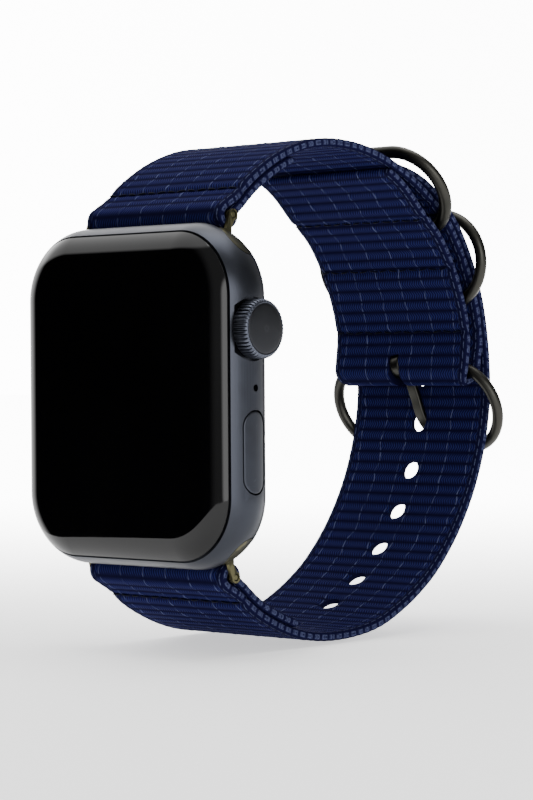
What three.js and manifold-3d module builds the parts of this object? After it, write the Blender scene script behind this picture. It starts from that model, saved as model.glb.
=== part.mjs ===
// A smart watch on a two-piece webbing strap with oval rings, fastened as it is worn.
// Millimetres. +X points to the crown side, -Y out of the display, +Z to twelve o'clock.
// The origin is the centre of the display face. Inside this file the pieces are placed from
// the middle of the watch case, which lies CASE_DEPTH / 2 behind that face.
import * as THREE from "three";
import { mergeVertices } from "three/addons/utils/BufferGeometryUtils.js";
import Module from "manifold-3d";

const wasm = await Module();
wasm.setup();

// ---- driving dimensions ------------------------------------------------------------------

// Watch case: a rounded pillow.
const CASE_WIDTH = 38;
const CASE_HEIGHT = 44;
const CASE_DEPTH = 10.7;
const CASE_CORNER = 9.5;
const HALF_DEPTH = CASE_DEPTH / 2;
const EDGE_RADIUS = 5.3;

// Glass, display and back cover, as depths measured from the middle of the case.
const GLASS_BACK = -3.5;
const RIM_FRONT = -3.2;
const WELL = { width: 33, height: 39, corner: 7, back: -1.4 };
const CAVITY = { width: 31, height: 34, corner: 3, back: 3.0 };
const SENSOR_WINDOW = { width: 24, height: 29, corner: 4 };
const BACK_SEAT = { width: 27, height: 32, corner: 6, front: 4.2 };
const CRYSTAL_RADIUS = 10.7;
const CRYSTAL_FLAT = 4;
const CRYSTAL_PROUD = 0.6;
const CRYSTAL_SHOULDER = 0.7;

// Band channel in the case and the lug rail that slides in it.
const RAIL_Y = 1.5;
const RAIL_Z = 19.6;
const CHANNEL_HALF_Y = 2.15;
const CHANNEL_HALF_Z = 1.9;
const CHANNEL_NECK = 1.5;
const RAIL_PLAY = 0.15;

// Spring bars, which the webbing loops turn round.
const BAR_Y = 3.25;
const BAR_Z = 23.05;
const BAR_RADIUS = 0.62;
const BAR_TIP_RADIUS = 0.4;
const EAR_INNER = 12.35;
const EAR_OUTER = 13.3;
const EAR_RADIUS = 1.15;

// Crown and side button on the right side.
const CROWN_Z = 8.4;
const CROWN_RADIUS = 3.75;
const CROWN_TEETH = 44;
const CROWN_FACE = 21.0;
const BUTTON_Y = 0.3;
const BUTTON_Z = -7.0;
const BUTTON_LENGTH = 10.3;
const BUTTON_WIDTH = 3.9;
const BUTTON_GAP = 0.25;
const BUTTON_TRAVEL = 0.3;
const MIC_Z = 1.05;

// Band release buttons on the back of the case.
const RELEASE_Z = 17.2;
const RELEASE_LENGTH = 5;
const RELEASE_WIDTH = 1.4;

// Webbing.
const WEB_WIDTH = 24.3;
const WEB = 1.15;
const WEB_PLAY = 0.06;
const LAYER_STEP = WEB + WEB_PLAY;
const BAR_LOOP = BAR_RADIUS + WEB_PLAY + WEB / 2;
const FOLD_BACK = 13.5;
const LOOP_FROM = 20;
const LOOP_TO = -232;
const LOOP_END = 1.2;
const FOLD_STEP = 1.6;
const WEB_STEP = 2.2;

// Rings: an oval of round wire, with a bar of RING_STRAIGHT on each long side.
const WIRE = 0.8;
const RING_STRAIGHT = 16.1;
const RING_RADIUS = 6.4;
const RING_LOOP = WIRE + WEB_PLAY + WEB / 2;
const LOOP_SLACK = 1.0;
const BUCKLE_PIVOT = [54.5, 3.9];
const BUCKLE_LEAN = -68.5;
const REAR_KEEPER_PIVOT = [54.0, 12.5];
const REAR_KEEPER_LEAN = 95.6;
const FRONT_KEEPER_PIVOT = [48.0, 22.85];
const FRONT_KEEPER_LEAN = 123.3;
const RING_RELIEF = 0.2;
const BUCKLE_SWEEP = [-3, 0, 3];
const KEEPER_SWEEP = [2, -6, -14, -22];

// Tongue and strap holes.
const TONGUE_WIDTH = 1.6;
const TONGUE = 0.85;
const TONGUE_EYE = 1.04;
const TONGUE_X = -0.8;
const TONGUE_SLANT = 9;
const PLAIN_HOLE = { radius: 1.5, stretch: 0, shift: 0 };
const WORN_HOLE = { radius: 1.7, stretch: 0.9, shift: 0.5 };
const HOLE_PITCH = 6.7;
const HOLE_COUNT = 9;
const FIRST_HOLE = 35.0;
const TONGUE_HOLE = 5;

// Cavity side wall, seats, bores and travels in the case.
const CAVITY_SIDE = CAVITY.width / 2;
const CLOSE_PLAY = 0.1;
const SEAL_PLAY = 0.05;
const GASKET = { width: 35.2, height: 41.2, corner: 8.1 };
const DISPLAY = { front: -3.4, back: -2.4, play: 0.4 };
const CRYSTAL_BACK = 4.45;
const SENSOR_BOARD = { radius: 10, front: 3.2, back: 4.1 };
const MIC_Y = 0.35;
const MIC_RADIUS = 0.45;
const GRILLE_Z = 5.2;
const GRILLE_LENGTH = 7;
const GRILLE_WIDTH = 1;
const RELEASE_FLOOR = 3.9;
const RELEASE_TRAVEL = 0.4;

// Pieces inside the case, as boxes.
const BATTERY = { x: [-10.3, 4.3], y: [-1.1, 2.7], z: [-9, 16] };
const LOGIC_BOARD = { x: [5, 9.6], y: [0.4, 2.6], z: [-16, 16] };
const SPEAKER = { x: [-15.2, -11], y: [-1.1, 2.7], z: [-8.5, 9.5] };
const MICROPHONE = { x: [13.6, 15.3], y: [-0.8, 1.5], z: [-0.2, 2.3] };
const SWITCH = { x: [13.2, 15.2], y: [-1.2, 1.2], z: [-9.2, -4.8] };
const HAPTIC = { x: [-14.6, 4.3], y: [-1.1, 2.7], z: [-16, -9.6] };
const HAPTIC_WALL = 0.5;
const HAPTIC_TRAVEL = 0.5;

// Crown, from the encoder carrier in the cavity out to the cap.
const CROWN_SEAT = 18.25;
const CROWN_BACK = 18.7;
const CROWN_CAP = 3.12;
const CAP_DEPTH = 0.5;
const CAP_RIM = 0.15;
const CAP_CROWNING = 0.2;
const STEM_TOP = CROWN_FACE - 1;
const KNURL = 0.22;
const STEM = 0.9;
const STEM_PLAY = 0.08;
const BUSH = { outer: 1.6, from: 14.6, to: 17.75 };
const CARRIER = { outer: 2.2, from: 12.0, to: 13.6 };
const SEAL = { radius: 1.24, wire: 0.26, x: 18.08 };
const BUTTON_SEAT = 17.2;
const BUTTON_STEM = 0.9;

// Lug adapter.
const WEB_TOP = 21.0;
const EAR_SHOULDER = 21.35;
const BAR_TIP_END = 13.2;
const LATCH = { radius: 0.9, tip: 17.9, top: 19.6, floor: 20.1 };

// Layers at the buckle end and the slot for the tongue.
const TUNNEL_LENGTH = 36;
const TUNNEL_OPEN = 25;
const TAIL_FROM = 7;
const TAIL_TO = 35;
const SLOT_HALF = 1.35;
const SLOT_REACH = 3;
const SLOT_TOP = 2.4;
const TIP_RADIUS = 9;
const TONGUE_LINE = [
  [55.0, 2.6], [56.2, 0.95], [56.75, -1.0], [57.15, -2.7], [57.7, -4.1], [58.95, -5.6],
  [60.35, -7.1], [60.95, -8.6],
];
const RING_SIDES = 10;
const RING_SEGMENTS = 36;
const RELIEF_SIDES = 8;
const RELIEF_SEGMENTS = 24;

// Centre line of the upper strap's outer layer, from the lug to the buckle, as [y, z].
const UPPER_LINE = [
  [4.35, 24.75], [6.0, 26.35], [8.35, 28.2], [12.2, 30.5], [16.1, 32.15], [20.0, 33.2],
  [24.5, 33.6], [29.5, 33.3], [34.0, 32.35], [38.0, 30.95], [42.6, 28.8], [48.1, 25.0],
  [51.45, 21.05], [53.9, 16.7], [55.75, 11.9], [56.5, 7.5], [56.1, 5.0],
];
// Centre line of the lower strap, from the lug to the buckle. Its tail then lies on the upper strap.
const LOWER_LINE = [
  [4.3, -24.75], [7.7, -27.5], [11.45, -29.5], [15.3, -31.0], [19.4, -31.95], [24.0, -32.3],
  [29.0, -32.05], [33.4, -31.25], [37.4, -29.75], [41.6, -27.6], [46.0, -24.5], [50.6, -19.7],
  [54.2, -14.3], [56.6, -8.8], [57.95, -3.5], [58.35, 1.0], [57.98, 6.8],
];

// ---- materials ---------------------------------------------------------------------------

const finish = (color, roughness, metalness = 0) =>
  new THREE.MeshStandardMaterial({ color, roughness, metalness });

const MATERIALS = {
  anodised: finish("#3a3e48", 0.42, 0.9),
  glass: finish("#050506", 0.08),
  display: finish("#020203", 0.3),
  black_seal: finish("#101114", 0.7),
  ceramic: finish("#1b1c20", 0.25),
  board: finish("#173a2a", 0.6),
  battery: finish("#2b2c30", 0.5),
  steel: finish("#9b9c9e", 0.35, 1),
  brass: finish("#b08d4c", 0.35, 1),
  lug_metal: finish("#4a483c", 0.4, 0.9),
  ring_metal: finish("#2c2b2a", 0.38, 0.9),
  webbing: finish("#13204f", 0.85),
};

// ---- geometry helpers --------------------------------------------------------------------

const X = new THREE.Vector3(1, 0, 0);
const Y = new THREE.Vector3(0, 1, 0);
const Z = new THREE.Vector3(0, 0, 1);

// Turns a geometry so that its own axes lie along the three given directions.
const turned = (geometry, x, y, z) =>
  geometry.applyMatrix4(new THREE.Matrix4().makeBasis(x, y, z));

// A three.js geometry as a manifold-3d solid, and back.
function solid(geometry) {
  const bare = geometry.clone();
  bare.deleteAttribute("normal");
  bare.deleteAttribute("uv");
  const merged = mergeVertices(bare, 1e-4);
  const vertProperties = new Float32Array(merged.attributes.position.array);
  const triVerts = new Uint32Array(merged.index.array);
  return new wasm.Manifold(new wasm.Mesh({ numProp: 3, vertProperties, triVerts }));
}

function geometryOf(manifold) {
  const mesh = manifold.getMesh();
  const geometry = new THREE.BufferGeometry();
  geometry.setAttribute("position", new THREE.BufferAttribute(mesh.vertProperties, 3));
  geometry.setIndex(new THREE.BufferAttribute(mesh.triVerts, 1));
  geometry.computeVertexNormals();
  return geometry;
}

// Cuts a list of geometries out of a solid.
const carved = (body, cutters) => cutters.reduce((left, cut) => left.subtract(solid(cut)), body);

function roundedRectangle(width, height, radius) {
  const x = width / 2 - radius;
  const y = height / 2 - radius;
  const shape = new THREE.Shape();
  shape.absarc(x, y, radius, 0, Math.PI / 2);
  shape.absarc(-x, y, radius, Math.PI / 2, Math.PI);
  shape.absarc(-x, -y, radius, Math.PI, 1.5 * Math.PI);
  shape.absarc(x, -y, radius, 1.5 * Math.PI, 2 * Math.PI);
  shape.closePath();
  return shape;
}

// A slab whose outline lies in XZ, from front to back along Y.
function slab(outline, front, back, curveSegments = 6) {
  const options = { depth: back - front, bevelEnabled: false, curveSegments };
  const geometry = turned(new THREE.ExtrudeGeometry(outline, options), X, Z, Y.clone().negate());
  return geometry.translate(0, back, 0);
}

// A prism whose outline lies in YZ, centred on x = 0 unless it is moved.
function prism(outline, from, to, curveSegments = 8) {
  const options = { depth: to - from, bevelEnabled: false, curveSegments };
  return turned(new THREE.ExtrudeGeometry(outline, options), Y, Z, X).translate(from, 0, 0);
}

const box = ([x0, x1], [y0, y1], [z0, z1]) =>
  new THREE.BoxGeometry(x1 - x0, y1 - y0, z1 - z0).translate(
    (x0 + x1) / 2, (y0 + y1) / 2, (z0 + z1) / 2);

// Turned parts: a profile of [radius, height] pairs, spun round an axis along X or Y.
function spun(profile, axis, segments = 24) {
  const points = profile.map(([radius, height]) => new THREE.Vector2(radius, height));
  const lathe = new THREE.LatheGeometry(points, segments);
  return axis === X ? turned(lathe, Y, X, Z.clone().negate()) : lathe;
}

const rod = (radius, from, to, axis, segments = 20) =>
  spun([[0, from], [radius, from], [radius, to], [0, to]], axis, segments);

const sleeve = (inner, outer, from, to, axis, segments = 24) =>
  spun([[inner, from], [outer, from], [outer, to], [inner, to], [inner, from]], axis, segments);

// A stadium outline: straight length plus two round ends.
const stadium = (length, width) => roundedRectangle(width, length, width / 2 - 0.001);

const flat = ([x, y]) => new THREE.Vector2(x, y);

// ---- watch case --------------------------------------------------------------------------

// The outer pillow, shrunk by an inset on every side.
function pillow(inset = 0) {
  const radius = EDGE_RADIUS - inset;
  const outline = roundedRectangle(
    CASE_WIDTH - 2 * EDGE_RADIUS, CASE_HEIGHT - 2 * EDGE_RADIUS, CASE_CORNER - EDGE_RADIUS);
  const options = {
    depth: CASE_DEPTH - 2 * EDGE_RADIUS,
    bevelThickness: radius,
    bevelSize: radius,
    bevelSegments: 6,
    curveSegments: 7,
  };
  const geometry = turned(new THREE.ExtrudeGeometry(outline, options), X, Z, Y.clone().negate());
  return geometry.translate(0, HALF_DEPTH - EDGE_RADIUS, 0);
}

const PILLOW = solid(pillow());

// The rail's outline, grown or shrunk by a play, on the twelve (+1) or six o'clock (-1) side.
function railOutline(grow, side) {
  const outline = new THREE.Shape();
  outline.absellipse(
    RAIL_Y, side * RAIL_Z, CHANNEL_HALF_Y + grow, CHANNEL_HALF_Z + grow, 0, 2 * Math.PI);
  return outline;
}

function neckOutline(shrink, side, top) {
  const half = CHANNEL_NECK - shrink;
  return new THREE.Shape([
    [RAIL_Y - half, side * RAIL_Z], [RAIL_Y + half, side * RAIL_Z],
    [RAIL_Y + half, side * top], [RAIL_Y - half, side * top],
  ].map(flat));
}

const channel = (side) => [
  prism(railOutline(0, side), -CASE_WIDTH, CASE_WIDTH, 6),
  prism(neckOutline(0, side, CASE_HEIGHT), -CASE_WIDTH, CASE_WIDTH),
];

const rounded = ({ width, height, corner }, shrink = 0) =>
  roundedRectangle(width - 2 * shrink, height - 2 * shrink, corner - shrink);

const outlineAt = (outline, x, y) => {
  const moved = outline.getPoints(6).map((p) => new THREE.Vector2(p.x + x, p.y + y));
  return new THREE.Shape(moved);
};

// The side button's outline in YZ and a release button's outline in XZ.
const sideButtonOutline = (grow) =>
  outlineAt(stadium(BUTTON_LENGTH + 2 * grow, BUTTON_WIDTH + 2 * grow), BUTTON_Y, BUTTON_Z);
const releaseOutline = (grow, side) =>
  outlineAt(
    roundedRectangle(
      RELEASE_LENGTH + 2 * grow, RELEASE_WIDTH + 2 * grow, RELEASE_WIDTH / 2 + grow - 0.001),
    0, side * RELEASE_Z);

function watchCase() {
  const behind = HALF_DEPTH + 1;
  const side = CASE_WIDTH / 2;
  const grilles = [-1, 1].map((end) =>
    prism(outlineAt(stadium(GRILLE_LENGTH, GRILLE_WIDTH), 0, end * GRILLE_Z), -side - 1, -side / 2));
  return carved(PILLOW, [
    box([-CASE_WIDTH, CASE_WIDTH], [-CASE_DEPTH, RIM_FRONT], [-CASE_HEIGHT, CASE_HEIGHT]),
    slab(rounded(WELL), RIM_FRONT - 1, WELL.back),
    slab(rounded(CAVITY), WELL.back - 1, CAVITY.back),
    slab(rounded(SENSOR_WINDOW), CAVITY.back - 1, behind),
    slab(rounded(BACK_SEAT), BACK_SEAT.front, behind),
    ...channel(1),
    ...channel(-1),
    rod(CROWN_RADIUS + BUTTON_GAP, CROWN_SEAT, CASE_WIDTH, X, 32).translate(0, 0, CROWN_Z),
    rod(BUSH.outer + CLOSE_PLAY, CAVITY_SIDE - 1, CASE_WIDTH, X, 16).translate(0, 0, CROWN_Z),
    prism(sideButtonOutline(BUTTON_GAP), BUTTON_SEAT, CASE_WIDTH),
    rod(BUTTON_STEM + BUTTON_GAP, CAVITY_SIDE - 1, CASE_WIDTH, X, 12).translate(0, 0, BUTTON_Z),
    rod(MIC_RADIUS, CAVITY_SIDE - 1, CASE_WIDTH, X, 12).translate(0, MIC_Y, MIC_Z),
    slab(releaseOutline(CLOSE_PLAY, 1), RELEASE_FLOOR, behind),
    slab(releaseOutline(CLOSE_PLAY, -1), RELEASE_FLOOR, behind),
    ...grilles,
  ]);
}

// The glass is the front of the pillow; the display bonds to its flat inner face.
const coverGlass = () =>
  carved(PILLOW, [
    box([-CASE_WIDTH, CASE_WIDTH], [GLASS_BACK, CASE_DEPTH], [-CASE_HEIGHT, CASE_HEIGHT]),
  ]);

const displayGasket = () => {
  const ring = slab(rounded(GASKET), GLASS_BACK + SEAL_PLAY, RIM_FRONT - SEAL_PLAY);
  return carved(solid(ring), [slab(rounded(WELL), GLASS_BACK, RIM_FRONT)]);
};

const displayPanel = () => solid(slab(rounded(WELL, DISPLAY.play), DISPLAY.front, DISPLAY.back));

function backPlate() {
  const keep = solid(slab(rounded(BACK_SEAT, CLOSE_PLAY), BACK_SEAT.front + SEAL_PLAY, HALF_DEPTH));
  return carved(keep, [
    rod(CRYSTAL_RADIUS + CLOSE_PLAY, BACK_SEAT.front - 1, HALF_DEPTH + 1, Y, 40),
  ]);
}

// A shallow dome with a flat middle, which rests on the skin.
const sensorCrystal = () =>
  solid(spun([
    [0, CRYSTAL_BACK],
    [CRYSTAL_RADIUS, CRYSTAL_BACK],
    [CRYSTAL_RADIUS, HALF_DEPTH - CRYSTAL_PROUD / 2],
    [CRYSTAL_RADIUS - CRYSTAL_SHOULDER, HALF_DEPTH],
    [0.75 * CRYSTAL_RADIUS, HALF_DEPTH + 0.7 * CRYSTAL_PROUD],
    [CRYSTAL_FLAT, HALF_DEPTH + CRYSTAL_PROUD],
    [0, HALF_DEPTH + CRYSTAL_PROUD],
  ], Y, 40));

const sensorBoard = () =>
  solid(rod(SENSOR_BOARD.radius, SENSOR_BOARD.front, SENSOR_BOARD.back, Y, 32));

const block = ({ x, y, z }) => solid(box(x, y, z));

// A tray, open to the display side, in which the haptic mass slides.
const hapticHousing = () =>
  carved(block(HAPTIC), [
    box(
      [HAPTIC.x[0] + HAPTIC_WALL, HAPTIC.x[1] - HAPTIC_WALL],
      [HAPTIC.y[0] - 1, HAPTIC.y[1] - HAPTIC_WALL],
      [HAPTIC.z[0] + HAPTIC_WALL, HAPTIC.z[1] - HAPTIC_WALL]),
  ]);

function hapticMass() {
  const inside = HAPTIC_WALL + CLOSE_PLAY;
  const end = inside + HAPTIC_TRAVEL;
  return block({
    x: [HAPTIC.x[0] + end, HAPTIC.x[1] - end],
    y: [HAPTIC.y[0] + 2 * CLOSE_PLAY, HAPTIC.y[1] - inside],
    z: [HAPTIC.z[0] + inside, HAPTIC.z[1] - inside],
  });
}

// ---- crown and buttons -------------------------------------------------------------------

// Straight knurling round the rim, chamfered at the front, with a seat for the cap.
function crownKnob() {
  const root = CROWN_RADIUS - KNURL;
  const tooth = [[0, CROWN_RADIUS], [0.48, CROWN_RADIUS], [0.62, root], [0.88, root]];
  const rim = Array.from({ length: CROWN_TEETH }, (_, i) =>
    tooth.map(([share, radius]) => {
      const angle = ((i + share) / CROWN_TEETH) * 2 * Math.PI;
      return new THREE.Vector2(radius * Math.cos(angle), radius * Math.sin(angle));
    })).flat();
  const teeth = solid(prism(new THREE.Shape(rim), CROWN_BACK, CROWN_FACE));
  const dome = solid(spun([
    [0, CROWN_BACK - 1],
    [CROWN_RADIUS + 1, CROWN_BACK - 1],
    [CROWN_RADIUS + 0.1, CROWN_FACE - 0.75],
    [CROWN_RADIUS - 0.18, CROWN_FACE - 0.25],
    [CROWN_CAP + CAP_RIM, CROWN_FACE],
    [0, CROWN_FACE],
  ], X, 32));
  return carved(teeth.intersect(dome), [
    rod(CROWN_CAP + SEAL_PLAY, CROWN_FACE - CAP_DEPTH, CROWN_FACE + 1, X, 32),
    rod(STEM + SEAL_PLAY, CROWN_BACK - 1, STEM_TOP + CLOSE_PLAY, X, 16),
  ]).translate(0, 0, CROWN_Z);
}

const crownCap = () =>
  solid(spun([
    [0, CROWN_FACE - CAP_DEPTH + SEAL_PLAY],
    [CROWN_CAP, CROWN_FACE - CAP_DEPTH + SEAL_PLAY],
    [CROWN_CAP, CROWN_FACE],
    [CROWN_CAP - 0.25, CROWN_FACE + 0.6 * CAP_CROWNING],
    [0, CROWN_FACE + CAP_CROWNING],
  ], X, 32)).translate(0, 0, CROWN_Z);

const crownStem = () =>
  solid(rod(STEM, CARRIER.from - 0.4, STEM_TOP, X, 16)).translate(0, 0, CROWN_Z);

// The bush in the case wall and the carrier behind it, both round the stem.
const stemSleeve = ({ outer, from, to }) =>
  solid(sleeve(STEM + STEM_PLAY, outer, from, to, X, 20)).translate(0, 0, CROWN_Z);

const crownSeal = () => {
  const torus = new THREE.TorusGeometry(SEAL.radius, SEAL.wire, 6, 20);
  return solid(turned(torus, Y, Z, X).translate(SEAL.x, 0, CROWN_Z));
};

function sideButton() {
  const room = BUTTON_TRAVEL + CLOSE_PLAY;
  const cap = solid(prism(sideButtonOutline(0), BUTTON_SEAT + room, CASE_WIDTH));
  const stem = rod(BUTTON_STEM, SWITCH.x[1] + room, BUTTON_SEAT + 2 * room, X, 12);
  return cap.intersect(PILLOW).add(solid(stem.translate(0, 0, BUTTON_Z)));
}

const releaseButton = (side) => {
  const front = RELEASE_FLOOR + RELEASE_TRAVEL + SEAL_PLAY;
  return solid(slab(releaseOutline(0, side), front, HALF_DEPTH - SEAL_PLAY));
};

// ---- lug adapters and spring bars --------------------------------------------------------

// A rail in the case channel, a web in its neck, and an ear at each end that holds the bar.
function lug() {
  const reach = CASE_WIDTH / 2;
  const rail = solid(prism(railOutline(-RAIL_PLAY, 1), -reach, reach, 6));
  const web = solid(prism(neckOutline(RAIL_PLAY, 1, WEB_TOP), -EAR_OUTER, EAR_OUTER));
  const body = rail.add(web).intersect(solid(pillow(SEAL_PLAY)));
  const ears = [-1, 1].map((end) => {
    const [from, to] = [end * EAR_INNER, end * EAR_OUTER].sort((a, b) => a - b);
    return solid(prism(earOutline(), from, to));
  });
  const tipHole = BAR_TIP_RADIUS + CLOSE_PLAY;
  const holes = rod(tipHole, -reach, reach, X, 12).translate(0, BAR_Y, BAR_Z);
  const latch = rod(LATCH.radius + STEM_PLAY, RAIL_Z - CHANNEL_HALF_Z - 1, LATCH.floor, Y, 12);
  const bore = turned(latch, X, Z, Y.clone().negate()).translate(0, RAIL_Y, 0);
  return carved(body.add(ears[0]).add(ears[1]), [holes, bore]);
}

function earOutline() {
  const half = CHANNEL_NECK - RAIL_PLAY;
  const outline = new THREE.Shape();
  outline.moveTo(RAIL_Y - half, RAIL_Z);
  outline.lineTo(RAIL_Y - half, EAR_SHOULDER);
  outline.absarc(BAR_Y, BAR_Z, EAR_RADIUS, 0.86 * Math.PI, -0.38 * Math.PI, true);
  outline.lineTo(RAIL_Y + half, EAR_SHOULDER);
  outline.lineTo(RAIL_Y + half, RAIL_Z);
  outline.closePath();
  return outline;
}

// A spring-loaded pin in the middle of the rail, level with its inner side.
const latchPin = () =>
  solid(turned(rod(LATCH.radius, LATCH.tip, LATCH.top, Y, 12), X, Z, Y.clone().negate())
    .translate(0, RAIL_Y, 0));

const springBar = () =>
  solid(spun([
    [0, -BAR_TIP_END],
    [BAR_TIP_RADIUS, -BAR_TIP_END],
    [BAR_TIP_RADIUS, CLOSE_PLAY - EAR_INNER],
    [BAR_RADIUS, CLOSE_PLAY - EAR_INNER],
    [BAR_RADIUS, EAR_INNER - CLOSE_PLAY],
    [BAR_TIP_RADIUS, EAR_INNER - CLOSE_PLAY],
    [BAR_TIP_RADIUS, BAR_TIP_END],
    [0, BAR_TIP_END],
  ], X, 12)).translate(0, BAR_Y, BAR_Z);

// ---- webbing -----------------------------------------------------------------------------

const spline = (points) => new THREE.SplineCurve(points.map(flat));

// Points along a curve between two lengths, moved sideways by a distance that may vary.
function run(curve, from, to, sideways, step) {
  const total = curve.getLength();
  const count = Math.max(2, Math.round(Math.abs(to - from) / step));
  return Array.from({ length: count + 1 }, (_, i) => {
    const length = from + ((to - from) * i) / count;
    const share = Math.min(1, length / total);
    const tangent = curve.getTangentAt(share);
    const shift = typeof sideways === "function" ? sideways(length) : sideways;
    const side = new THREE.Vector2(tangent.y, -tangent.x).multiplyScalar(shift);
    return curve.getPointAt(share).add(side);
  });
}

// Points round a bar, from one angle to another, in degrees.
function turn([y, z], radius, from, to, steps = 10) {
  return Array.from({ length: steps + 1 }, (_, i) => {
    const angle = THREE.MathUtils.degToRad(from + ((to - from) * i) / steps);
    return new THREE.Vector2(y + radius * Math.cos(angle), z + radius * Math.sin(angle));
  });
}

// The outline of a strip of one thickness along a centre line.
function ribbon(line, thickness) {
  const sides = line.map((point, i) => {
    const before = line[Math.max(0, i - 1)];
    const after = line[Math.min(line.length - 1, i + 1)];
    const along = after.clone().sub(before).normalize();
    return new THREE.Vector2(along.y, -along.x).multiplyScalar(thickness / 2);
  });
  return new THREE.Shape([
    ...line.map((point, i) => point.clone().add(sides[i])),
    ...line.map((point, i) => point.clone().sub(sides[i])).reverse(),
  ]);
}

const webbing = (line) => solid(prism(ribbon(line, WEB), -WEB_WIDTH / 2, WEB_WIDTH / 2));

const UPPER_CURVE = spline(UPPER_LINE);
const UPPER_TOTAL = UPPER_CURVE.getLength();
const TAIL_LINE = run(UPPER_CURVE, UPPER_TOTAL - TAIL_FROM, UPPER_TOTAL - TAIL_TO, -LAYER_STEP, 4);
const LOWER_CURVE = spline([...LOWER_LINE, ...TAIL_LINE.map((point) => point.toArray())]);
const LOWER_TOTAL = LOWER_CURVE.getLength();

// How far the inner layer lies from the outer one: apart where the bars pass, closer at its end.
function tunnelGap(length) {
  const closing = THREE.MathUtils.smoothstep(
    length, UPPER_TOTAL - TUNNEL_LENGTH, UPPER_TOTAL - TUNNEL_OPEN);
  return THREE.MathUtils.lerp(LAYER_STEP, 2 * RING_LOOP, closing);
}

// Lug fold, outer layer, turn round the buckle's bar, then the inner layer that holds the rings.
function upperStrap() {
  const line = [
    ...run(UPPER_CURVE, FOLD_BACK, LOOP_END, LAYER_STEP, FOLD_STEP),
    ...turn([BAR_Y, BAR_Z], BAR_LOOP, LOOP_FROM, LOOP_TO, 12),
    ...run(UPPER_CURVE, LOOP_END, UPPER_TOTAL, 0, WEB_STEP),
    ...turn([BUCKLE_PIVOT[0], BUCKLE_PIVOT[1] - LOOP_SLACK], RING_LOOP, 6, -186, 10),
    ...run(UPPER_CURVE, UPPER_TOTAL - LOOP_END, UPPER_TOTAL - TUNNEL_LENGTH, tunnelGap, WEB_STEP),
  ];
  return carved(webbing(line), [
    box(
      [TONGUE_X - SLOT_HALF, TONGUE_X + SLOT_HALF],
      [BUCKLE_PIVOT[0] - SLOT_REACH, BUCKLE_PIVOT[0] + SLOT_REACH],
      [BUCKLE_PIVOT[1] - SLOT_REACH - LOOP_SLACK, BUCKLE_PIVOT[1] + SLOT_TOP]),
    ...ringRelief(BUCKLE_PIVOT, BUCKLE_LEAN, BUCKLE_SWEEP),
    ...ringRelief(REAR_KEEPER_PIVOT, REAR_KEEPER_LEAN, KEEPER_SWEEP),
    ...ringRelief(FRONT_KEEPER_PIVOT, FRONT_KEEPER_LEAN, KEEPER_SWEEP),
  ]);
}

// The webbing is wider than the rings' straight bars, so it gives way where their ends curve.
function ringRelief(pivot, degrees, sweep) {
  return sweep.map((swing) =>
    oval(pivot, degrees + swing, WIRE + RING_RELIEF, RELIEF_SIDES, RELIEF_SEGMENTS));
}

// Lug fold, then one layer round the wrist, through the buckle and under both keepers.
function lowerStrap() {
  const line = [
    ...run(LOWER_CURVE, FOLD_BACK, LOOP_END, -LAYER_STEP, FOLD_STEP),
    ...turn([BAR_Y, -BAR_Z], BAR_LOOP, -LOOP_FROM, -LOOP_TO, 12),
    ...run(LOWER_CURVE, LOOP_END, LOWER_TOTAL, 0, WEB_STEP),
  ];
  return carved(webbing(line), [
    ...strapHoles(),
    tipCorner(1),
    tipCorner(-1),
    ...ringRelief(BUCKLE_PIVOT, BUCKLE_LEAN, BUCKLE_SWEEP),
  ]);
}

// Moves a cutter that stands along Y to a place on the lower strap, square to the webbing.
function onLowerStrap(cutter, length) {
  const at = length / LOWER_TOTAL;
  const [centre, along] = [LOWER_CURVE.getPointAt(at), LOWER_CURVE.getTangentAt(at)];
  return cutter
    .rotateX(Math.atan2(along.y, along.x) - Math.PI / 2)
    .translate(0, centre.x, centre.y);
}

// Round holes on one pitch; the one that the tongue goes through is drawn out along the strap.
const strapHoles = () =>
  Array.from({ length: HOLE_COUNT }, (_, i) => {
    const { radius, stretch, shift } = i === TONGUE_HOLE ? WORN_HOLE : PLAIN_HOLE;
    const outline = stadium(2 * (radius + stretch), 2 * radius);
    return onLowerStrap(slab(outline, -WEB, WEB, 4), FIRST_HOLE + i * HOLE_PITCH + shift);
  });

// What is cut away to round one corner of the tail's tip.
function tipCorner(side) {
  const edge = WEB_WIDTH / 2;
  const outline = new THREE.Shape();
  outline.moveTo(edge + 1, -TIP_RADIUS);
  outline.lineTo(edge + 1, 1);
  outline.lineTo(edge - TIP_RADIUS, 1);
  outline.lineTo(edge - TIP_RADIUS, 0);
  outline.absarc(edge - TIP_RADIUS, -TIP_RADIUS, TIP_RADIUS, Math.PI / 2, 0, true);
  outline.closePath();
  const corner = outline.getPoints(6).map((point) => new THREE.Vector2(side * point.x, point.y));
  return onLowerStrap(slab(new THREE.Shape(corner), -2 * WEB, 2 * WEB), LOWER_TOTAL);
}

// ---- rings and tongue --------------------------------------------------------------------

const RING_HALF = RING_STRAIGHT / 2;
const lean = (degrees) => THREE.MathUtils.degToRad(degrees);

// A torus drawn out along X into an oval, standing on its lower bar at the pivot.
function oval([y, z], degrees, wire, sides, segments) {
  const torus = new THREE.TorusGeometry(RING_RADIUS, wire, sides, segments);
  torus.rotateZ(Math.PI / segments);
  const position = torus.getAttribute("position");
  for (let i = 0; i < position.count; i += 1) {
    position.setX(i, position.getX(i) + Math.sign(position.getX(i)) * RING_HALF);
  }
  torus.translate(0, RING_RADIUS, 0);
  return torus.rotateX(lean(degrees)).translate(0, y, z);
}

const ring = (pivot, degrees) => solid(oval(pivot, degrees, WIRE, RING_SIDES, RING_SEGMENTS));

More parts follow.
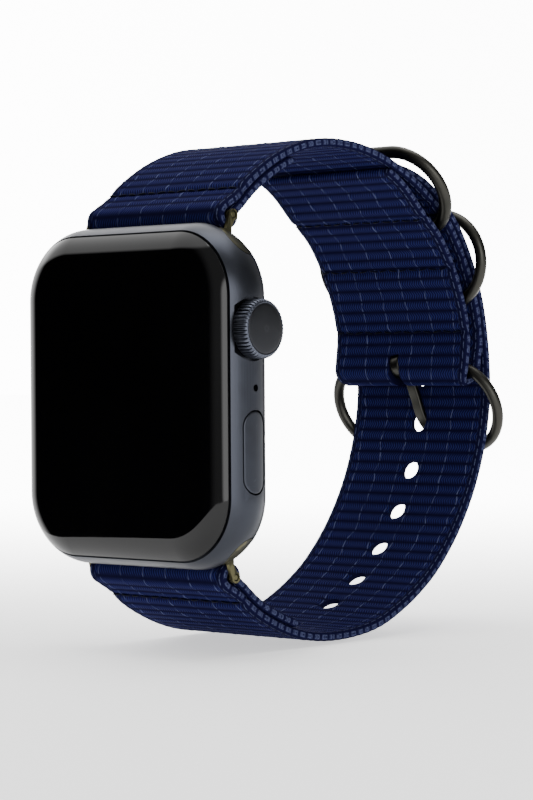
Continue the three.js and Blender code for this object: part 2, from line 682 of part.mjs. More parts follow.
// An eye round the buckle's inner bar and a shank through the strap and over the outer bar.
function buckleTongue() {
  const half = TONGUE_WIDTH / 2;
  const eye = sleeve(TONGUE_EYE, TONGUE_EYE + TONGUE, -half, half, X, 20);
  const middle = spline(TONGUE_LINE).getSpacedPoints(14);
  const [pivotY, pivotZ] = BUCKLE_PIVOT;
  const shank = prism(ribbon(middle, TONGUE), -half, half).translate(0, -pivotY, -pivotZ);
  const square = new THREE.Vector3(0, Math.sin(lean(BUCKLE_LEAN)), -Math.cos(lean(BUCKLE_LEAN)));
  const slant = new THREE.Matrix4().makeRotationAxis(square, lean(TONGUE_SLANT));
  const place = (geometry) =>
    solid(geometry.applyMatrix4(slant).translate(TONGUE_X, pivotY, pivotZ));
  return place(eye).add(place(shank));
}

// ---- assembly ----------------------------------------------------------------------------

const watch = new THREE.Group();
watch.position.y = HALF_DEPTH;

function add(name, body, material, mirrored = false) {
  const mesh = new THREE.Mesh(geometryOf(body), material);
  mesh.name = name;
  if (mirrored) mesh.scale.z = -1;
  watch.add(mesh);
}

add("watch_case", watchCase(), MATERIALS.anodised);
add("cover_glass", coverGlass(), MATERIALS.glass);
add("display_gasket", displayGasket(), MATERIALS.black_seal);
add("display_panel", displayPanel(), MATERIALS.display);
add("logic_board", block(LOGIC_BOARD), MATERIALS.board);
add("battery", block(BATTERY), MATERIALS.battery);
add("speaker", block(SPEAKER), MATERIALS.battery);
add("microphone", block(MICROPHONE), MATERIALS.steel);
add("haptic_housing", hapticHousing(), MATERIALS.steel);
add("haptic_mass", hapticMass(), MATERIALS.brass);
add("sensor_board", sensorBoard(), MATERIALS.board);
add("back_plate", backPlate(), MATERIALS.ceramic);
add("sensor_crystal", sensorCrystal(), MATERIALS.ceramic);
add("crown_knob", crownKnob(), MATERIALS.anodised);
add("crown_cap", crownCap(), MATERIALS.anodised);
add("crown_stem", crownStem(), MATERIALS.steel);
add("crown_bush", stemSleeve(BUSH), MATERIALS.brass);
add("crown_carrier", stemSleeve(CARRIER), MATERIALS.steel);
add("crown_seal", crownSeal(), MATERIALS.black_seal);
add("side_button", sideButton(), MATERIALS.anodised);
add("side_button_switch", block(SWITCH), MATERIALS.board);
add("release_button_upper", releaseButton(1), MATERIALS.anodised);
add("release_button_lower", releaseButton(-1), MATERIALS.anodised);
add("upper_strap", upperStrap(), MATERIALS.webbing);
add("lower_strap", lowerStrap(), MATERIALS.webbing);
add("keeper_ring_front", ring(FRONT_KEEPER_PIVOT, FRONT_KEEPER_LEAN), MATERIALS.ring_metal);
add("keeper_ring_rear", ring(REAR_KEEPER_PIVOT, REAR_KEEPER_LEAN), MATERIALS.ring_metal);
add("buckle_ring", ring(BUCKLE_PIVOT, BUCKLE_LEAN), MATERIALS.ring_metal);
add("buckle_tongue", buckleTongue(), MATERIALS.ring_metal);

for (const [end, mirrored] of [["upper", false], ["lower", true]]) {
  add(`lug_${end}`, lug(), MATERIALS.lug_metal, mirrored);
  add(`latch_pin_${end}`, latchPin(), MATERIALS.steel, mirrored);
  add(`spring_bar_${end}`, springBar(), MATERIALS.steel, mirrored);
}

export default watch;
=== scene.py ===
"""Looks for a smart watch on a two-piece webbing strap with oval rings.

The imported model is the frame. Sizes are millimetres, measured from the middle of the watch case
as in the part's source; place() turns them into metres in the row frame. +X is the crown side,
-Y points out of the display and +Z to twelve o'clock.
"""
import math

import bmesh
import bpy
import numpy as np
from mathutils import Matrix, Vector


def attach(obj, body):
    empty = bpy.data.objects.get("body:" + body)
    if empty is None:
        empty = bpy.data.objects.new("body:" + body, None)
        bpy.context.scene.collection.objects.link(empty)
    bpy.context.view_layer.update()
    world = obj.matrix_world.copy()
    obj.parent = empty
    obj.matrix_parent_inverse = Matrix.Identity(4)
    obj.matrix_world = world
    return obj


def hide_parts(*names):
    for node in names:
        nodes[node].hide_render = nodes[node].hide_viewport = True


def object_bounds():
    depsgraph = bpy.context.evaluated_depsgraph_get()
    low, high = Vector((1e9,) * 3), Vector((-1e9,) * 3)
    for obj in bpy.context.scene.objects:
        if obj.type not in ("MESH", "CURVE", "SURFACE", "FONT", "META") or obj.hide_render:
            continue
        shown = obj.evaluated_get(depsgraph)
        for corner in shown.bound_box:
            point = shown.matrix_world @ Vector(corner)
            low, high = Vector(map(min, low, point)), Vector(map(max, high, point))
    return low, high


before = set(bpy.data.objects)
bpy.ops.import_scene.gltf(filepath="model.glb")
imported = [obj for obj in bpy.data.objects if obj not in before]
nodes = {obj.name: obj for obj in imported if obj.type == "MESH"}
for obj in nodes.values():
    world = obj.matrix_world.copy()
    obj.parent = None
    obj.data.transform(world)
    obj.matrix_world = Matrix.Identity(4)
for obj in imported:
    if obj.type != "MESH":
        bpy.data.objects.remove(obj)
cad_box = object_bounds()

# ---- driving dimensions ----------------------------------------------------------------------

MM = 0.001

CASE_WIDTH = 38
CASE_HEIGHT = 44
CASE_DEPTH = 10.7
CASE_CORNER = 9.5
HALF_DEPTH = CASE_DEPTH / 2
EDGE_RADIUS = 5.3
GLASS_BACK = -3.5
RIM_FRONT = -3.2
WELL = dict(width=33, height=39, corner=7, back=-1.4)
CAVITY = dict(width=31, height=34, corner=3, back=3.0)
SENSOR_WINDOW = dict(width=24, height=29, corner=4)
BACK_SEAT = dict(width=27, height=32, corner=6, front=4.2)
CRYSTAL_RADIUS = 10.7
CRYSTAL_BACK = 4.45
CRYSTAL_PROUD = 0.6

RAIL_Y = 1.5
RAIL_Z = 19.6
CHANNEL_HALF_Y = 2.15
CHANNEL_HALF_Z = 1.9
CHANNEL_NECK = 1.5
RAIL_PLAY = 0.15
SEAL_PLAY = 0.05
CLOSE_PLAY = 0.1
WEB_TOP = 21.0
EAR_INNER = 12.35
EAR_OUTER = 12.85
EAR_RADIUS = 0.74
EAR_SHOULDER = 21.35
BAR = (3.25, 23.05)
BAR_RADIUS = 0.62
BAR_BORE = 0.46
LATCH_BORE = 0.98
LATCH_INSET = 0.6

CROWN_Z = 8.4
CROWN_RADIUS = 3.75
CROWN_TEETH = 44
CROWN_FACE = 21.0
CROWN_BACK = 18.7
CROWN_SEAT = 18.25
CROWN_CAP = 3.12
CROWN_BORE = 0.95
CROWN_WELL = 1.7
CAP_DEPTH = 0.5
KNURL = 0.24
BUTTON_Y = 0.3
BUTTON_Z = -7.0
BUTTON_LENGTH = 10.3
BUTTON_WIDTH = 3.9
BUTTON_GAP = 0.25
BUTTON_SEAT = 17.2
BUTTON_STEM = 0.9
STEM_END = 15.6
BUTTON_SOFT = 0.16
MIC = dict(y=0.35, z=1.05, radius=0.45)
GRILLE = dict(z=5.2, length=7, width=1)
RELEASE = dict(z=17.2, length=5, width=1.4, floor=3.9)

WEB_WIDTH = 24.3
WEB = 1.15
WEB_PLAY = 0.06
LAYER_STEP = WEB + WEB_PLAY
BAR_LOOP = BAR_RADIUS + WEB_PLAY + WEB / 2
FOLD_BACK = 13.5
LOOP_FROM, LOOP_TO, LOOP_END = 20, -232, 1.2
WIRE = 0.8
RING_STRAIGHT = 16.1
RING_RADIUS = 6.4
RING_LOOP = WIRE + WEB_PLAY + WEB / 2
LOOP_SLACK = 1.0
BUCKLE = dict(pivot=(54.5, 3.9), lean=-68.5, wire=WIRE)
REAR_KEEPER = dict(pivot=(54.0, 12.5), lean=95.6, wire=WIRE)
FRONT_KEEPER = dict(pivot=(48.0, 22.85), lean=123.3, wire=0.92)
TUNNEL_LENGTH, TUNNEL_OPEN = 36, 25
TAIL_FROM, TAIL_TO = 7, 35
TIP_RADIUS = 9
TONGUE_X = -0.8
TONGUE_SLANT = 9
TONGUE_WIDTH, TONGUE_THICK, TONGUE_EYE = 1.6, 0.85, 1.04
TIP_TAPER = 0.8
SLOT_HALF = 0.95
SLOT_BELOW, SLOT_ABOVE = 4.6, 1.5
TONGUE_LINE = [(56.2, 0.95), (56.75, -1.0), (57.15, -2.7), (57.7, -4.1), (58.95, -5.6),
               (60.35, -7.1), (60.95, -8.6)]
HOLE_PITCH, HOLE_COUNT, FIRST_HOLE, TONGUE_HOLE = 6.7, 9, 35.0, 5
HOLE_RADIUS, WORN_RADIUS, WORN_STRETCH, WORN_SHIFT = 1.38, 1.3, 0.1, 0.6

# Centre lines of the webbing, as (y, z).
UPPER_LINE = [
    (4.35, 24.75), (6.0, 26.35), (8.35, 28.2), (12.2, 30.5), (16.1, 32.15), (20.0, 33.2),
    (24.5, 33.6), (29.5, 33.3), (34.0, 32.35), (38.0, 30.95), (42.6, 28.8), (48.1, 25.0),
    (51.45, 21.05), (53.9, 16.7), (55.75, 11.9), (56.5, 7.5), (56.1, 5.0)]
LOWER_LINE = [
    (4.3, -24.75), (7.7, -27.5), (11.45, -29.5), (15.3, -31.0), (19.4, -31.95), (24.0, -32.3),
    (29.0, -32.05), (33.4, -31.25), (37.4, -29.75), (41.6, -27.6), (46.0, -24.5), (50.6, -19.7),
    (54.2, -14.3), (56.6, -8.8), (57.95, -3.5), (58.35, 1.0), (57.98, 6.8)]

# The weave: crosswise ribs, lengthwise ripstop threads and a braided selvage.
RIB = HOLE_PITCH / 4
RIB_HEIGHT = 0.055
RIPSTOP = 4.05
RIPSTOP_WIDTH = 0.11
SELVAGE = 1.2
BRAID = 1.5
BRAID_SLANT = 1.1
WEAVE_STEP = RIB / 8
ACROSS_STEP = 0.27
YARN = 0.42
EDGE_ROUND = 0.5
SEAM_SPREAD = 0.5
RIM_PRESS, END_PRESS = 0.66, 0.45
LUG_SEAM = 2.3
SEAM_DEPTH, FELL_DEPTH = 0.22, 0.36

# Stitches, and the thread that makes them.
STITCH_REACH, STITCH_LENGTH, STITCH_GAP = 11.2, 1.4, 0.4
THREAD_RADIUS, THREAD_SLANT, THREAD_BOW, THREAD_SIDES = 0.13, 0.1, 0.13, 8
THREAD_DEPTH = 0.2

# ---- mesh helpers ----------------------------------------------------------------------------


def place(points):
    """Case-centred millimetres to metres in the row frame."""
    return (np.asarray(points, float) + (0, HALF_DEPTH, 0)) * MM


def mesh_object(name, points, faces):
    mesh = bpy.data.meshes.new(name)
    mesh.from_pydata([tuple(p) for p in place(points)], [], [tuple(f) for f in faces])
    shape = bmesh.new()
    shape.from_mesh(mesh)
    bmesh.ops.recalc_face_normals(shape, faces=shape.faces)
    shape.to_mesh(mesh)
    shape.free()
    item = bpy.data.objects.new(name, mesh)
    bpy.context.scene.collection.objects.link(item)
    return item


def grid_faces(rows, columns, wrap_rows=False, wrap_columns=False, start=0):
    """Quads of a grid of points stored row by row."""
    i, j = np.meshgrid(np.arange(rows - (not wrap_rows)), np.arange(columns - (not wrap_columns)),
                       indexing="ij")
    i, j = i.ravel(), j.ravel()
    below, right = (i + 1) % rows, (j + 1) % columns
    corners = (i * columns + j, i * columns + right, below * columns + right, below * columns + j)
    return (np.stack(corners, 1) + start).tolist()


def tube(name, rings):
    """A closed skin over rings of equally many points, with a flat cap at both ends."""
    rings = [np.asarray(r, float) for r in rings]
    count = len(rings[0])
    faces = grid_faces(len(rings), count, wrap_columns=True)
    last = (len(rings) - 1) * count
    faces += [list(range(count)), list(range(last, last + count))]
    return mesh_object(name, np.concatenate(rings), faces)


def boolean(target, cutter, operation="DIFFERENCE"):
    modifier = target.modifiers.new("cut", "BOOLEAN")
    modifier.operation = operation
    modifier.object = cutter
    modifier.solver = "MANIFOLD"
    bpy.context.view_layer.update()
    graph = bpy.context.evaluated_depsgraph_get()
    made = bpy.data.meshes.new_from_object(target.evaluated_get(graph))
    target.modifiers.clear()
    target.data = made
    bpy.data.objects.remove(cutter)
    return target


def carved(target, cutters):
    for cutter in cutters:
        boolean(target, cutter)
    return target


def smooth(item, degrees=32):
    item.data.shade_smooth()
    item.data.set_sharp_from_angle(angle=math.radians(degrees))
    return item


def bevelled(item, width, segments=2, degrees=40):
    modifier = item.modifiers.new("edges", "BEVEL")
    modifier.width = width * MM
    modifier.segments = segments
    modifier.limit_method = "ANGLE"
    modifier.angle_limit = math.radians(degrees)
    modifier.harden_normals = True
    return item


def arc(centre, radius, start, stop, count):
    angles = np.radians(np.linspace(start, stop, count))
    return np.stack([centre[0] + radius * np.cos(angles), centre[1] + radius * np.sin(angles)], 1)


def rounded_rectangle(width, height, corner, count=18):
    a, b = width / 2 - corner, height / 2 - corner
    corners = [(a, b), (-a, b), (-a, -b), (a, -b)]
    return np.concatenate([arc(centre, corner, 90 * k, 90 * k + 90, count)
                           for k, centre in enumerate(corners)])


def stadium(length, width, count=18):
    """Long along the second axis."""
    return rounded_rectangle(width, length, width / 2 - 0.001, count)


def along_x(outline, x):
    return np.insert(np.asarray(outline, float), 0, x, axis=1)


def along_y(outline, y):
    return np.insert(np.asarray(outline, float), 1, y, axis=1)


def prism(outline, x0, x1):
    return tube("cutter", [along_x(outline, x0), along_x(outline, x1)])


def slab(outline, y0, y1):
    return tube("cutter", [along_y(outline, y0), along_y(outline, y1)])


def block(x, y, z):
    outline = [(x[0], z[0]), (x[1], z[0]), (x[1], z[1]), (x[0], z[1])]
    return slab(outline, y[0], y[1])


def circle(centre, radius, count=48):
    return arc(centre, radius, 0, 360 * (1 - 1 / count), count)


def spun(name, profile, axis="x", centre=(0, 0), count=96, ripple=None):
    """A profile of (radius, height) turned round an axis; the ends close on it or on each other."""
    angles = np.linspace(0, 2 * math.pi, count, endpoint=False)
    closed = profile[0] == profile[-1]
    rows = []
    for radius, height in (profile[:-1] if closed else profile):
        r = radius + (ripple(angles, radius) if ripple else 0)
        r = np.maximum(r, 1e-4) * np.ones(count)
        a, b = centre[0] + r * np.cos(angles), centre[1] + r * np.sin(angles)
        line = np.stack([a, b], 1)
        rows.append(along_x(line, height) if axis == "x" else along_y(line, height))
    points = np.concatenate(rows)
    faces = grid_faces(len(rows), count, wrap_rows=closed, wrap_columns=True)
    if not closed:
        last = (len(rows) - 1) * count
        faces += [list(range(count)), list(range(last, last + count))]
    return mesh_object(name, points, faces)


# ---- materials -------------------------------------------------------------------------------


def srgb(red, green, blue):
    """0-255 display values to a linear colour."""
    values = [c / 255 for c in (red, green, blue)]
    return tuple(c / 12.92 if c <= 0.04045 else ((c + 0.055) / 1.055) ** 2.4 for c in values) + (1,)


class Nodes:
    """Short calls for a node tree. A value is a number, a colour, a vector or another socket."""

    def __init__(self, tree):
        self.tree = tree

    def feed(self, socket, value):
        if isinstance(value, bpy.types.NodeSocket):
            self.tree.links.new(value, socket)
        else:
            socket.default_value = value

    def node(self, kind, *values, **options):
        made = self.tree.nodes.new(kind)
        for key, value in options.items():
            setattr(made, key, value)
        for socket, value in zip(made.inputs, values):
            self.feed(socket, value)
        return made

    def math(self, operation, *values):
        return self.node("ShaderNodeMath", *values, operation=operation).outputs[0]

    def times(self, first, second):
        return self.math("MULTIPLY", first, second)

    def remap(self, value, low, high, to_low=0.0, to_high=1.0):
        made = self.node("ShaderNodeMapRange", value, low, high, to_low, to_high,
                         interpolation_type="SMOOTHSTEP")
        return made.outputs[0]


class Finish(Nodes):
    """A principled material."""

    def __init__(self, name, roughness=0.5, metallic=0.0, **fixed):
        self.material = bpy.data.materials.new(name)
        self.material.use_nodes = True
        super().__init__(self.material.node_tree)
        self.shader = self.tree.nodes["Principled BSDF"]
        self.set("Roughness", roughness)
        self.set("Metallic", metallic)
        for socket, value in fixed.items():
            self.set(socket.replace("_", " "), value)
        self.place = self.node("ShaderNodeTexCoord").outputs["Object"]

    def set(self, socket, value):
        self.feed(self.shader.inputs[socket], value)

    def noise(self, scale, detail=3.0, stretch=None, source=None):
        vector = source or self.place
        if stretch:
            scaled = self.node("ShaderNodeVectorMath", vector, stretch, operation="MULTIPLY")
            vector = scaled.outputs[0]
        made = self.node("ShaderNodeTexNoise")
        self.feed(made.inputs["Vector"], vector)
        made.inputs["Scale"].default_value = scale
        made.inputs["Detail"].default_value = detail
        return made.outputs["Fac"]

    def mix(self, factor, first, second):
        made = self.node("ShaderNodeMix", data_type="RGBA")
        self.feed(made.inputs["Factor"], factor)
        sockets = [s for s in made.inputs if s.type == "RGBA"]
        self.feed(sockets[0], first)
        self.feed(sockets[1], second)
        return [s for s in made.outputs if s.type == "RGBA"][0]

    def bump(self, height, distance, strength=1.0):
        made = self.node("ShaderNodeBump")
        made.inputs["Strength"].default_value = strength
        made.inputs["Distance"].default_value = distance * MM
        self.feed(made.inputs["Height"], height)
        self.set("Normal", made.outputs["Normal"])

    def edges(self, low=0.52, high=0.6):
        """1 along worn convex edges."""
        return self.remap(self.node("ShaderNodeNewGeometry").outputs["Pointiness"], low, high)


GRAIN = 9000.0


def grained(name, colour, worn, roughness, metallic=1.0, depth=0.004, edge=0.5):
    """A bead-blasted or moulded finish: fine grain, cloudy gloss and lighter edges."""
    look = Finish(name, roughness, metallic)
    cloud = look.noise(160.0, 4.0)
    tint = look.mix(look.remap(cloud, 0.3, 0.7, 0.0, 0.35), colour, worn)
    look.set("Base Color", look.mix(look.times(look.edges(), edge), tint, worn))
    look.set("Roughness", look.remap(cloud, 0.25, 0.75, roughness - 0.05, roughness + 0.06))
    look.bump(look.noise(GRAIN, 2.0), depth)
    return look.material


def woven(name, base, ridge_highlight, thread, shadow):
    """Ripstop webbing, with painted shade in the valleys between ribs and painted highlights on their
    crowns. The map named weave holds millimetres across and along the webbing.
    """
    look = Finish(name, 0.6, 0.0, IOR=1.03)
    weave = look.node("ShaderNodeUVMap", uv_map="weave").outputs[0]
    split = look.node("ShaderNodeSeparateXYZ", weave)
    u, v = split.outputs[0], split.outputs[1]
    waver = look.math("SUBTRACT", look.noise(0.35, 1.0, source=weave), 0.5)
    patchy = look.noise(0.5, 2.0, source=weave)

    # ribs: 1 on the crown of each rib and 0 in the valley between two
    wave = look.math("ABSOLUTE", look.math("SINE", look.times(v, math.pi / RIB)))
    rib = look.math("POWER", wave, 0.95)

    # warp yarns, which lean one way on a rib and the other way on the next
    zigzag = look.math("PINGPONG", look.math("ADD", v, RIB / 2), RIB)
    leaning = look.math("MULTIPLY_ADD", zigzag, 0.5, u)
    yarn_at = look.math("ADD", leaning, look.times(waver, 0.3))
    yarn_wave = look.math("SINE", look.times(yarn_at, 2 * math.pi / YARN))
    yarn = look.math("MULTIPLY_ADD", yarn_wave, 0.5, 0.5)
    fibre = look.noise(5.0, 3.0, stretch=(3.0, 0.7, 1.0), source=weave)

    lit = look.times(rib, look.math("MULTIPLY_ADD", yarn, 0.95, 0.05))
    lit = look.times(lit, look.math("MULTIPLY_ADD", fibre, 0.9, 0.5))
    # painted shade: the valleys between ribs are mixed toward the shadow colour, and the lit rib
    # crowns toward a lighter colour as a painted highlight
    colour = look.mix(look.remap(rib, 0.0, 0.45, 0.7, 1.0), shadow, base)
    colour = look.mix(look.remap(lit, 0.1, 0.9, 0.0, 0.85), colour, ridge_highlight)

    # ripstop threads along the webbing, hidden where they dive into a valley
    row = look.math("ADD", look.math("DIVIDE", u, RIPSTOP), look.times(waver, 0.34))
    off = look.math("ABSOLUTE", look.math("SUBTRACT", look.math("FRACT", row), 0.5))
    line = look.remap(look.times(off, RIPSTOP), RIPSTOP_WIDTH, 0.5 * RIPSTOP_WIDTH)
    shown = look.times(line, look.remap(rib, 0.15, 0.55))
    shown = look.times(shown, look.remap(patchy, 0.4, 0.62, 0.1, 0.5))
    colour = look.mix(shown, colour, thread)

    # the selvage: two rows of slanted dashes along each edge
    side = look.math("ABSOLUTE", u)
    edge = look.remap(side, WEB_WIDTH / 2 - SELVAGE, WEB_WIDTH / 2 - SELVAGE + 0.12)
    slanting = look.math("ADD", v, look.times(side, BRAID_SLANT))
    run = look.math("FRACT", look.math("DIVIDE", slanting, BRAID))
    dash = look.remap(look.math("ABSOLUTE", look.math("SUBTRACT", run, 0.5)), 0.4, 0.28)
    across = look.math("SINE", look.times(side, 2 * math.pi / (SELVAGE / 2)))
    dash = look.times(dash, look.remap(across, 0.3, 0.95, 0.0, 0.55))
    dash = look.times(dash, look.remap(fibre, 0.35, 0.6, 0.1, 1.0))
    dash = look.times(dash, look.remap(side, WEB_WIDTH / 2 + 0.15, WEB_WIDTH / 2 - 0.15))
    colour = look.mix(edge, colour, look.mix(dash, base, thread))
    look.set("Base Color", colour)
    look.set("Roughness", look.remap(lit, 0.0, 0.8, 0.7, 0.5))
    height = look.math("ADD", look.times(yarn, 0.6), look.times(fibre, 0.5))
    height = look.math("ADD", height, look.times(shown, 1.2))
    look.bump(height, 0.05, 0.8)
    return look.material


def twisted(name, colour, light):
    """Sewing thread."""
    look = Finish(name, 0.65, 0.0, IOR=1.15)
    strand = look.noise(2600.0, 3.0, stretch=(1.0, 2.4, 2.4))
    look.set("Base Color", look.mix(look.remap(strand, 0.35, 0.65), colour, light))
    look.bump(strand, 0.03)
    return look.material


def glassy(name, colour, roughness=0.04):
    """Black-backed glass: clean, with a trace of smear in its gloss."""
    look = Finish(name, roughness, 0.0, IOR=1.38)
    smear = look.noise(90.0, 4.0, stretch=(1.0, 1.0, 0.4))
    look.set("Roughness", look.remap(smear, 0.35, 0.8, roughness, roughness + 0.05))
    look.set("Base Color", look.mix(look.remap(smear, 0.2, 0.9), colour, srgb(4, 4, 5)))
    return look.material


def printed_board(name):
    """Solder mask with copper traces under it."""
    look = Finish(name, 0.45, 0.0, Coat_Weight=0.4)
    brick = look.node("ShaderNodeTexBrick", look.place)
    brick.inputs["Scale"].default_value = 900.0
    brick.inputs["Mortar Size"].default_value = 0.06
    trace = brick.outputs["Fac"]
    look.set("Base Color", look.mix(trace, srgb(20, 62, 44), srgb(60, 120, 70)))
    look.bump(trace, 0.03)
    return look.material


def sensor_glass(name):
    """Dark crystal with a ring of optical windows printed behind it."""
    look = Finish(name, 0.06, 0.0, IOR=1.7, Coat_Weight=0.6)
    split = look.node("ShaderNodeSeparateXYZ", look.place)
    x, z = split.outputs[0], split.outputs[2]
    square = look.math("ADD", look.math("POWER", look.times(x, 1 / MM), 2.0),
                       look.math("POWER", look.times(z, 1 / MM), 2.0))
    radius = look.math("SQRT", square)
    band = look.times(look.remap(radius, 3.2, 3.4), look.remap(radius, 6.6, 6.4))
    angle = look.math("ARCTAN2", z, x)
    quarter = look.math("ABSOLUTE", look.math("SINE", look.times(angle, 2.0)))
    windows = look.times(band, look.remap(quarter, 0.25, 0.32))
    rim = look.times(look.remap(radius, 7.6, 7.7), look.remap(radius, 8.3, 8.2))
    colour = look.mix(windows, srgb(12, 12, 15), srgb(58, 20, 26))
    look.set("Base Color", look.mix(rim, colour, srgb(70, 72, 78)))
    return look.material


# The second colour is a painted highlight for the rib crowns and the last a painted shade for the
# valleys between ribs.
NAVY = woven("navy_ripstop", srgb(16, 16, 43), srgb(36, 40, 92), srgb(100, 108, 146), srgb(6, 6, 20))
# The sewing thread is navy, made near black as partly painted shade so the stitched seams read as
# shadowed grooves.
SEAM_SHADE_THREAD = twisted("navy_seam_shade_thread", srgb(1, 2, 12), srgb(5, 8, 30))
CASE = grained("anodised_case", srgb(54, 56, 62), srgb(70, 73, 82), 0.36)
CROWN = grained("anodised_crown", srgb(52, 55, 64), srgb(104, 108, 120), 0.34, edge=0.7)
CROWN_DISC = grained("anodised_cap", srgb(44, 45, 48), srgb(62, 63, 67), 0.42)
RINGS = grained("gunmetal", srgb(50, 50, 47), srgb(74, 72, 67), 0.36, depth=0.006)
LUGS = grained("lug_steel", srgb(40, 40, 29), srgb(104, 100, 72), 0.36, edge=0.7)
STEEL = grained("bright_steel", srgb(150, 150, 152), srgb(205, 205, 206), 0.28)
BRASS = grained("brass", srgb(170, 135, 70), srgb(215, 185, 120), 0.3)
CERAMIC = grained("back_ceramic", srgb(26, 27, 31), srgb(60, 62, 68), 0.2, metallic=0.0, depth=0.002)
PLASTIC = grained("battery_wrap", srgb(38, 39, 44), srgb(70, 72, 78), 0.5, metallic=0.0)
RUBBER = grained("seal_rubber", srgb(12, 12, 14), srgb(34, 34, 36), 0.7, metallic=0.0, depth=0.01)
GLASS = glassy("black_glass", srgb(1, 1, 2))
SCREEN = glassy("dark_display", srgb(2, 2, 3), roughness=0.2)
BOARD = printed_board("board_green")
SENSOR = sensor_glass("sensor_crystal_glass")


def dress(item, material):
    item.data.materials.clear()
    item.data.materials.append(material)
    return item


def finish_piece(item, material, body, slot, *replaced):
    dress(item, material)
    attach(item, body)
    if replaced:
        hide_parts(*replaced)
    return item


# ---- watch case and glass --------------------------------------------------------------------

CORE = (CASE_WIDTH / 2 - EDGE_RADIUS, CASE_HEIGHT / 2 - EDGE_RADIUS)
CORE_CORNER = CASE_CORNER - EDGE_RADIUS


def pillow(name, inset=0.0, steps=40):
    """A slab with fully round edges, shrunk by an inset on every side."""
    radius = EDGE_RADIUS - inset
    rings = []
    for angle in np.radians(np.linspace(-90, 90, steps + 1)):
        out = radius * math.cos(angle)
        y = math.copysign(HALF_DEPTH - EDGE_RADIUS, angle) + radius * math.sin(angle)
        outline = rounded_rectangle(2 * (CORE[0] + out), 2 * (CORE[1] + out), CORE_CORNER + out, 22)
        rings.append(along_y(outline, y))
    return tube(name, rings)


def pillow_normals(points):
    """Outward directions of the pillow at points near its skin, and how far off it they lie."""
    flat = points[:, [0, 2]]
    inner = np.array(CORE) - CORE_CORNER
    near = np.clip(flat, -inner, inner)
    away = flat - near
    size = np.linalg.norm(away, axis=1, keepdims=True)
    near = near + away * np.minimum(1, CORE_CORNER / np.maximum(size, 1e-9))
    level = np.clip(points[:, 1], EDGE_RADIUS - HALF_DEPTH, HALF_DEPTH - EDGE_RADIUS)
    toward = points - np.stack([near[:, 0], level, near[:, 1]], 1)
    length = np.linalg.norm(toward, axis=1, keepdims=True)
    return toward / np.maximum(length, 1e-9), np.abs(length[:, 0] - EDGE_RADIUS)


def pillow_shaded(item, tolerance=0.2):
    """Shades what is left of the pillow's skin by its true normals and the cuts as flat or round."""
    smooth(item)
    mesh = item.data
    points = np.zeros(len(mesh.vertices) * 3)
    mesh.vertices.foreach_get("co", points)
    points = points.reshape(-1, 3) / MM - (0, HALF_DEPTH, 0)
    skin, off = pillow_normals(points)
    corner_vertex = np.zeros(len(mesh.loops), int)
    mesh.loops.foreach_get("vertex_index", corner_vertex)
    face_normal = np.array([tuple(p.normal) for p in mesh.polygons])
    face_of = np.repeat(np.arange(len(mesh.polygons)), [p.loop_total for p in mesh.polygons])
    current = np.array([tuple(n.vector) for n in mesh.corner_normals])
    wanted = skin[corner_vertex]
    on_skin = (off[corner_vertex] < tolerance) & ((wanted * face_normal[face_of]).sum(1) > 0.93)
    current[on_skin] = wanted[on_skin]
    mesh.normals_split_custom_set([tuple(n) for n in current])
    return item


def rail_outline(grow, side, count=48):
    angles = np.linspace(0, 2 * math.pi, count, endpoint=False)
    return np.stack([RAIL_Y + (CHANNEL_HALF_Y + grow) * np.cos(angles),
                     side * RAIL_Z + (CHANNEL_HALF_Z + grow) * np.sin(angles)], 1)


def neck_outline(shrink, side, top):
    half = CHANNEL_NECK - shrink
    return [(RAIL_Y - half, side * RAIL_Z), (RAIL_Y + half, side * RAIL_Z),
            (RAIL_Y + half, side * top), (RAIL_Y - half, side * top)]


def button_outline(grow):
    return stadium(BUTTON_LENGTH + 2 * grow, BUTTON_WIDTH + 2 * grow) + (BUTTON_Y, BUTTON_Z)


def seat(spec, y0, y1):
    return slab(rounded_rectangle(spec["width"], spec["height"], spec["corner"]), y0, y1)


def case_shell():
    shell = pillow("case_shell")
    wide, behind, inner = CASE_WIDTH, HALF_DEPTH + 1, CAVITY["width"] / 2 - 1
    cutters = [
        block((-wide, wide), (-CASE_DEPTH, RIM_FRONT), (-CASE_HEIGHT, CASE_HEIGHT)),
        seat(WELL, RIM_FRONT - 1, WELL["back"]),
        seat(CAVITY, WELL["back"] - 1, CAVITY["back"]),
        seat(SENSOR_WINDOW, CAVITY["back"] - 1, behind),
        seat(BACK_SEAT, BACK_SEAT["front"], behind),
        prism(circle((0, CROWN_Z), CROWN_RADIUS + BUTTON_GAP, 96), CROWN_SEAT, wide),
        prism(circle((0, CROWN_Z), CROWN_WELL), inner, wide),
        prism(button_outline(BUTTON_GAP - 0.07), BUTTON_SEAT, wide),
        prism(circle((0, BUTTON_Z), BUTTON_STEM + BUTTON_GAP, 32), inner, wide),
        prism(circle((MIC["y"], MIC["z"]), MIC["radius"], 32), inner, wide),
    ]
    for side in (1, -1):
        cutters.append(prism(rail_outline(0, side), -wide, wide))
        cutters.append(prism(neck_outline(0, side, CASE_HEIGHT), -wide, wide))
        slot = rounded_rectangle(RELEASE["length"] + 0.2, RELEASE["width"] + 0.2, 0.79)
        cutters.append(slab(slot + (0, side * RELEASE["z"]), RELEASE["floor"], behind))
        mouth = stadium(GRILLE["length"], GRILLE["width"]) + (0, side * GRILLE["z"])
        cutters.append(prism(mouth, -wide, -wide / 4))
    return pillow_shaded(carved(shell, cutters))


def front_glass():
    glass = pillow("front_glass", steps=56)
    behind = block((-CASE_WIDTH, CASE_WIDTH), (GLASS_BACK, CASE_DEPTH), (-CASE_HEIGHT, CASE_HEIGHT))
    return pillow_shaded(carved(glass, [behind]))


finish_piece(case_shell(), CASE, "watch", "case_metal", "watch_case")
finish_piece(front_glass(), GLASS, "watch", "cover_glass", "cover_glass")


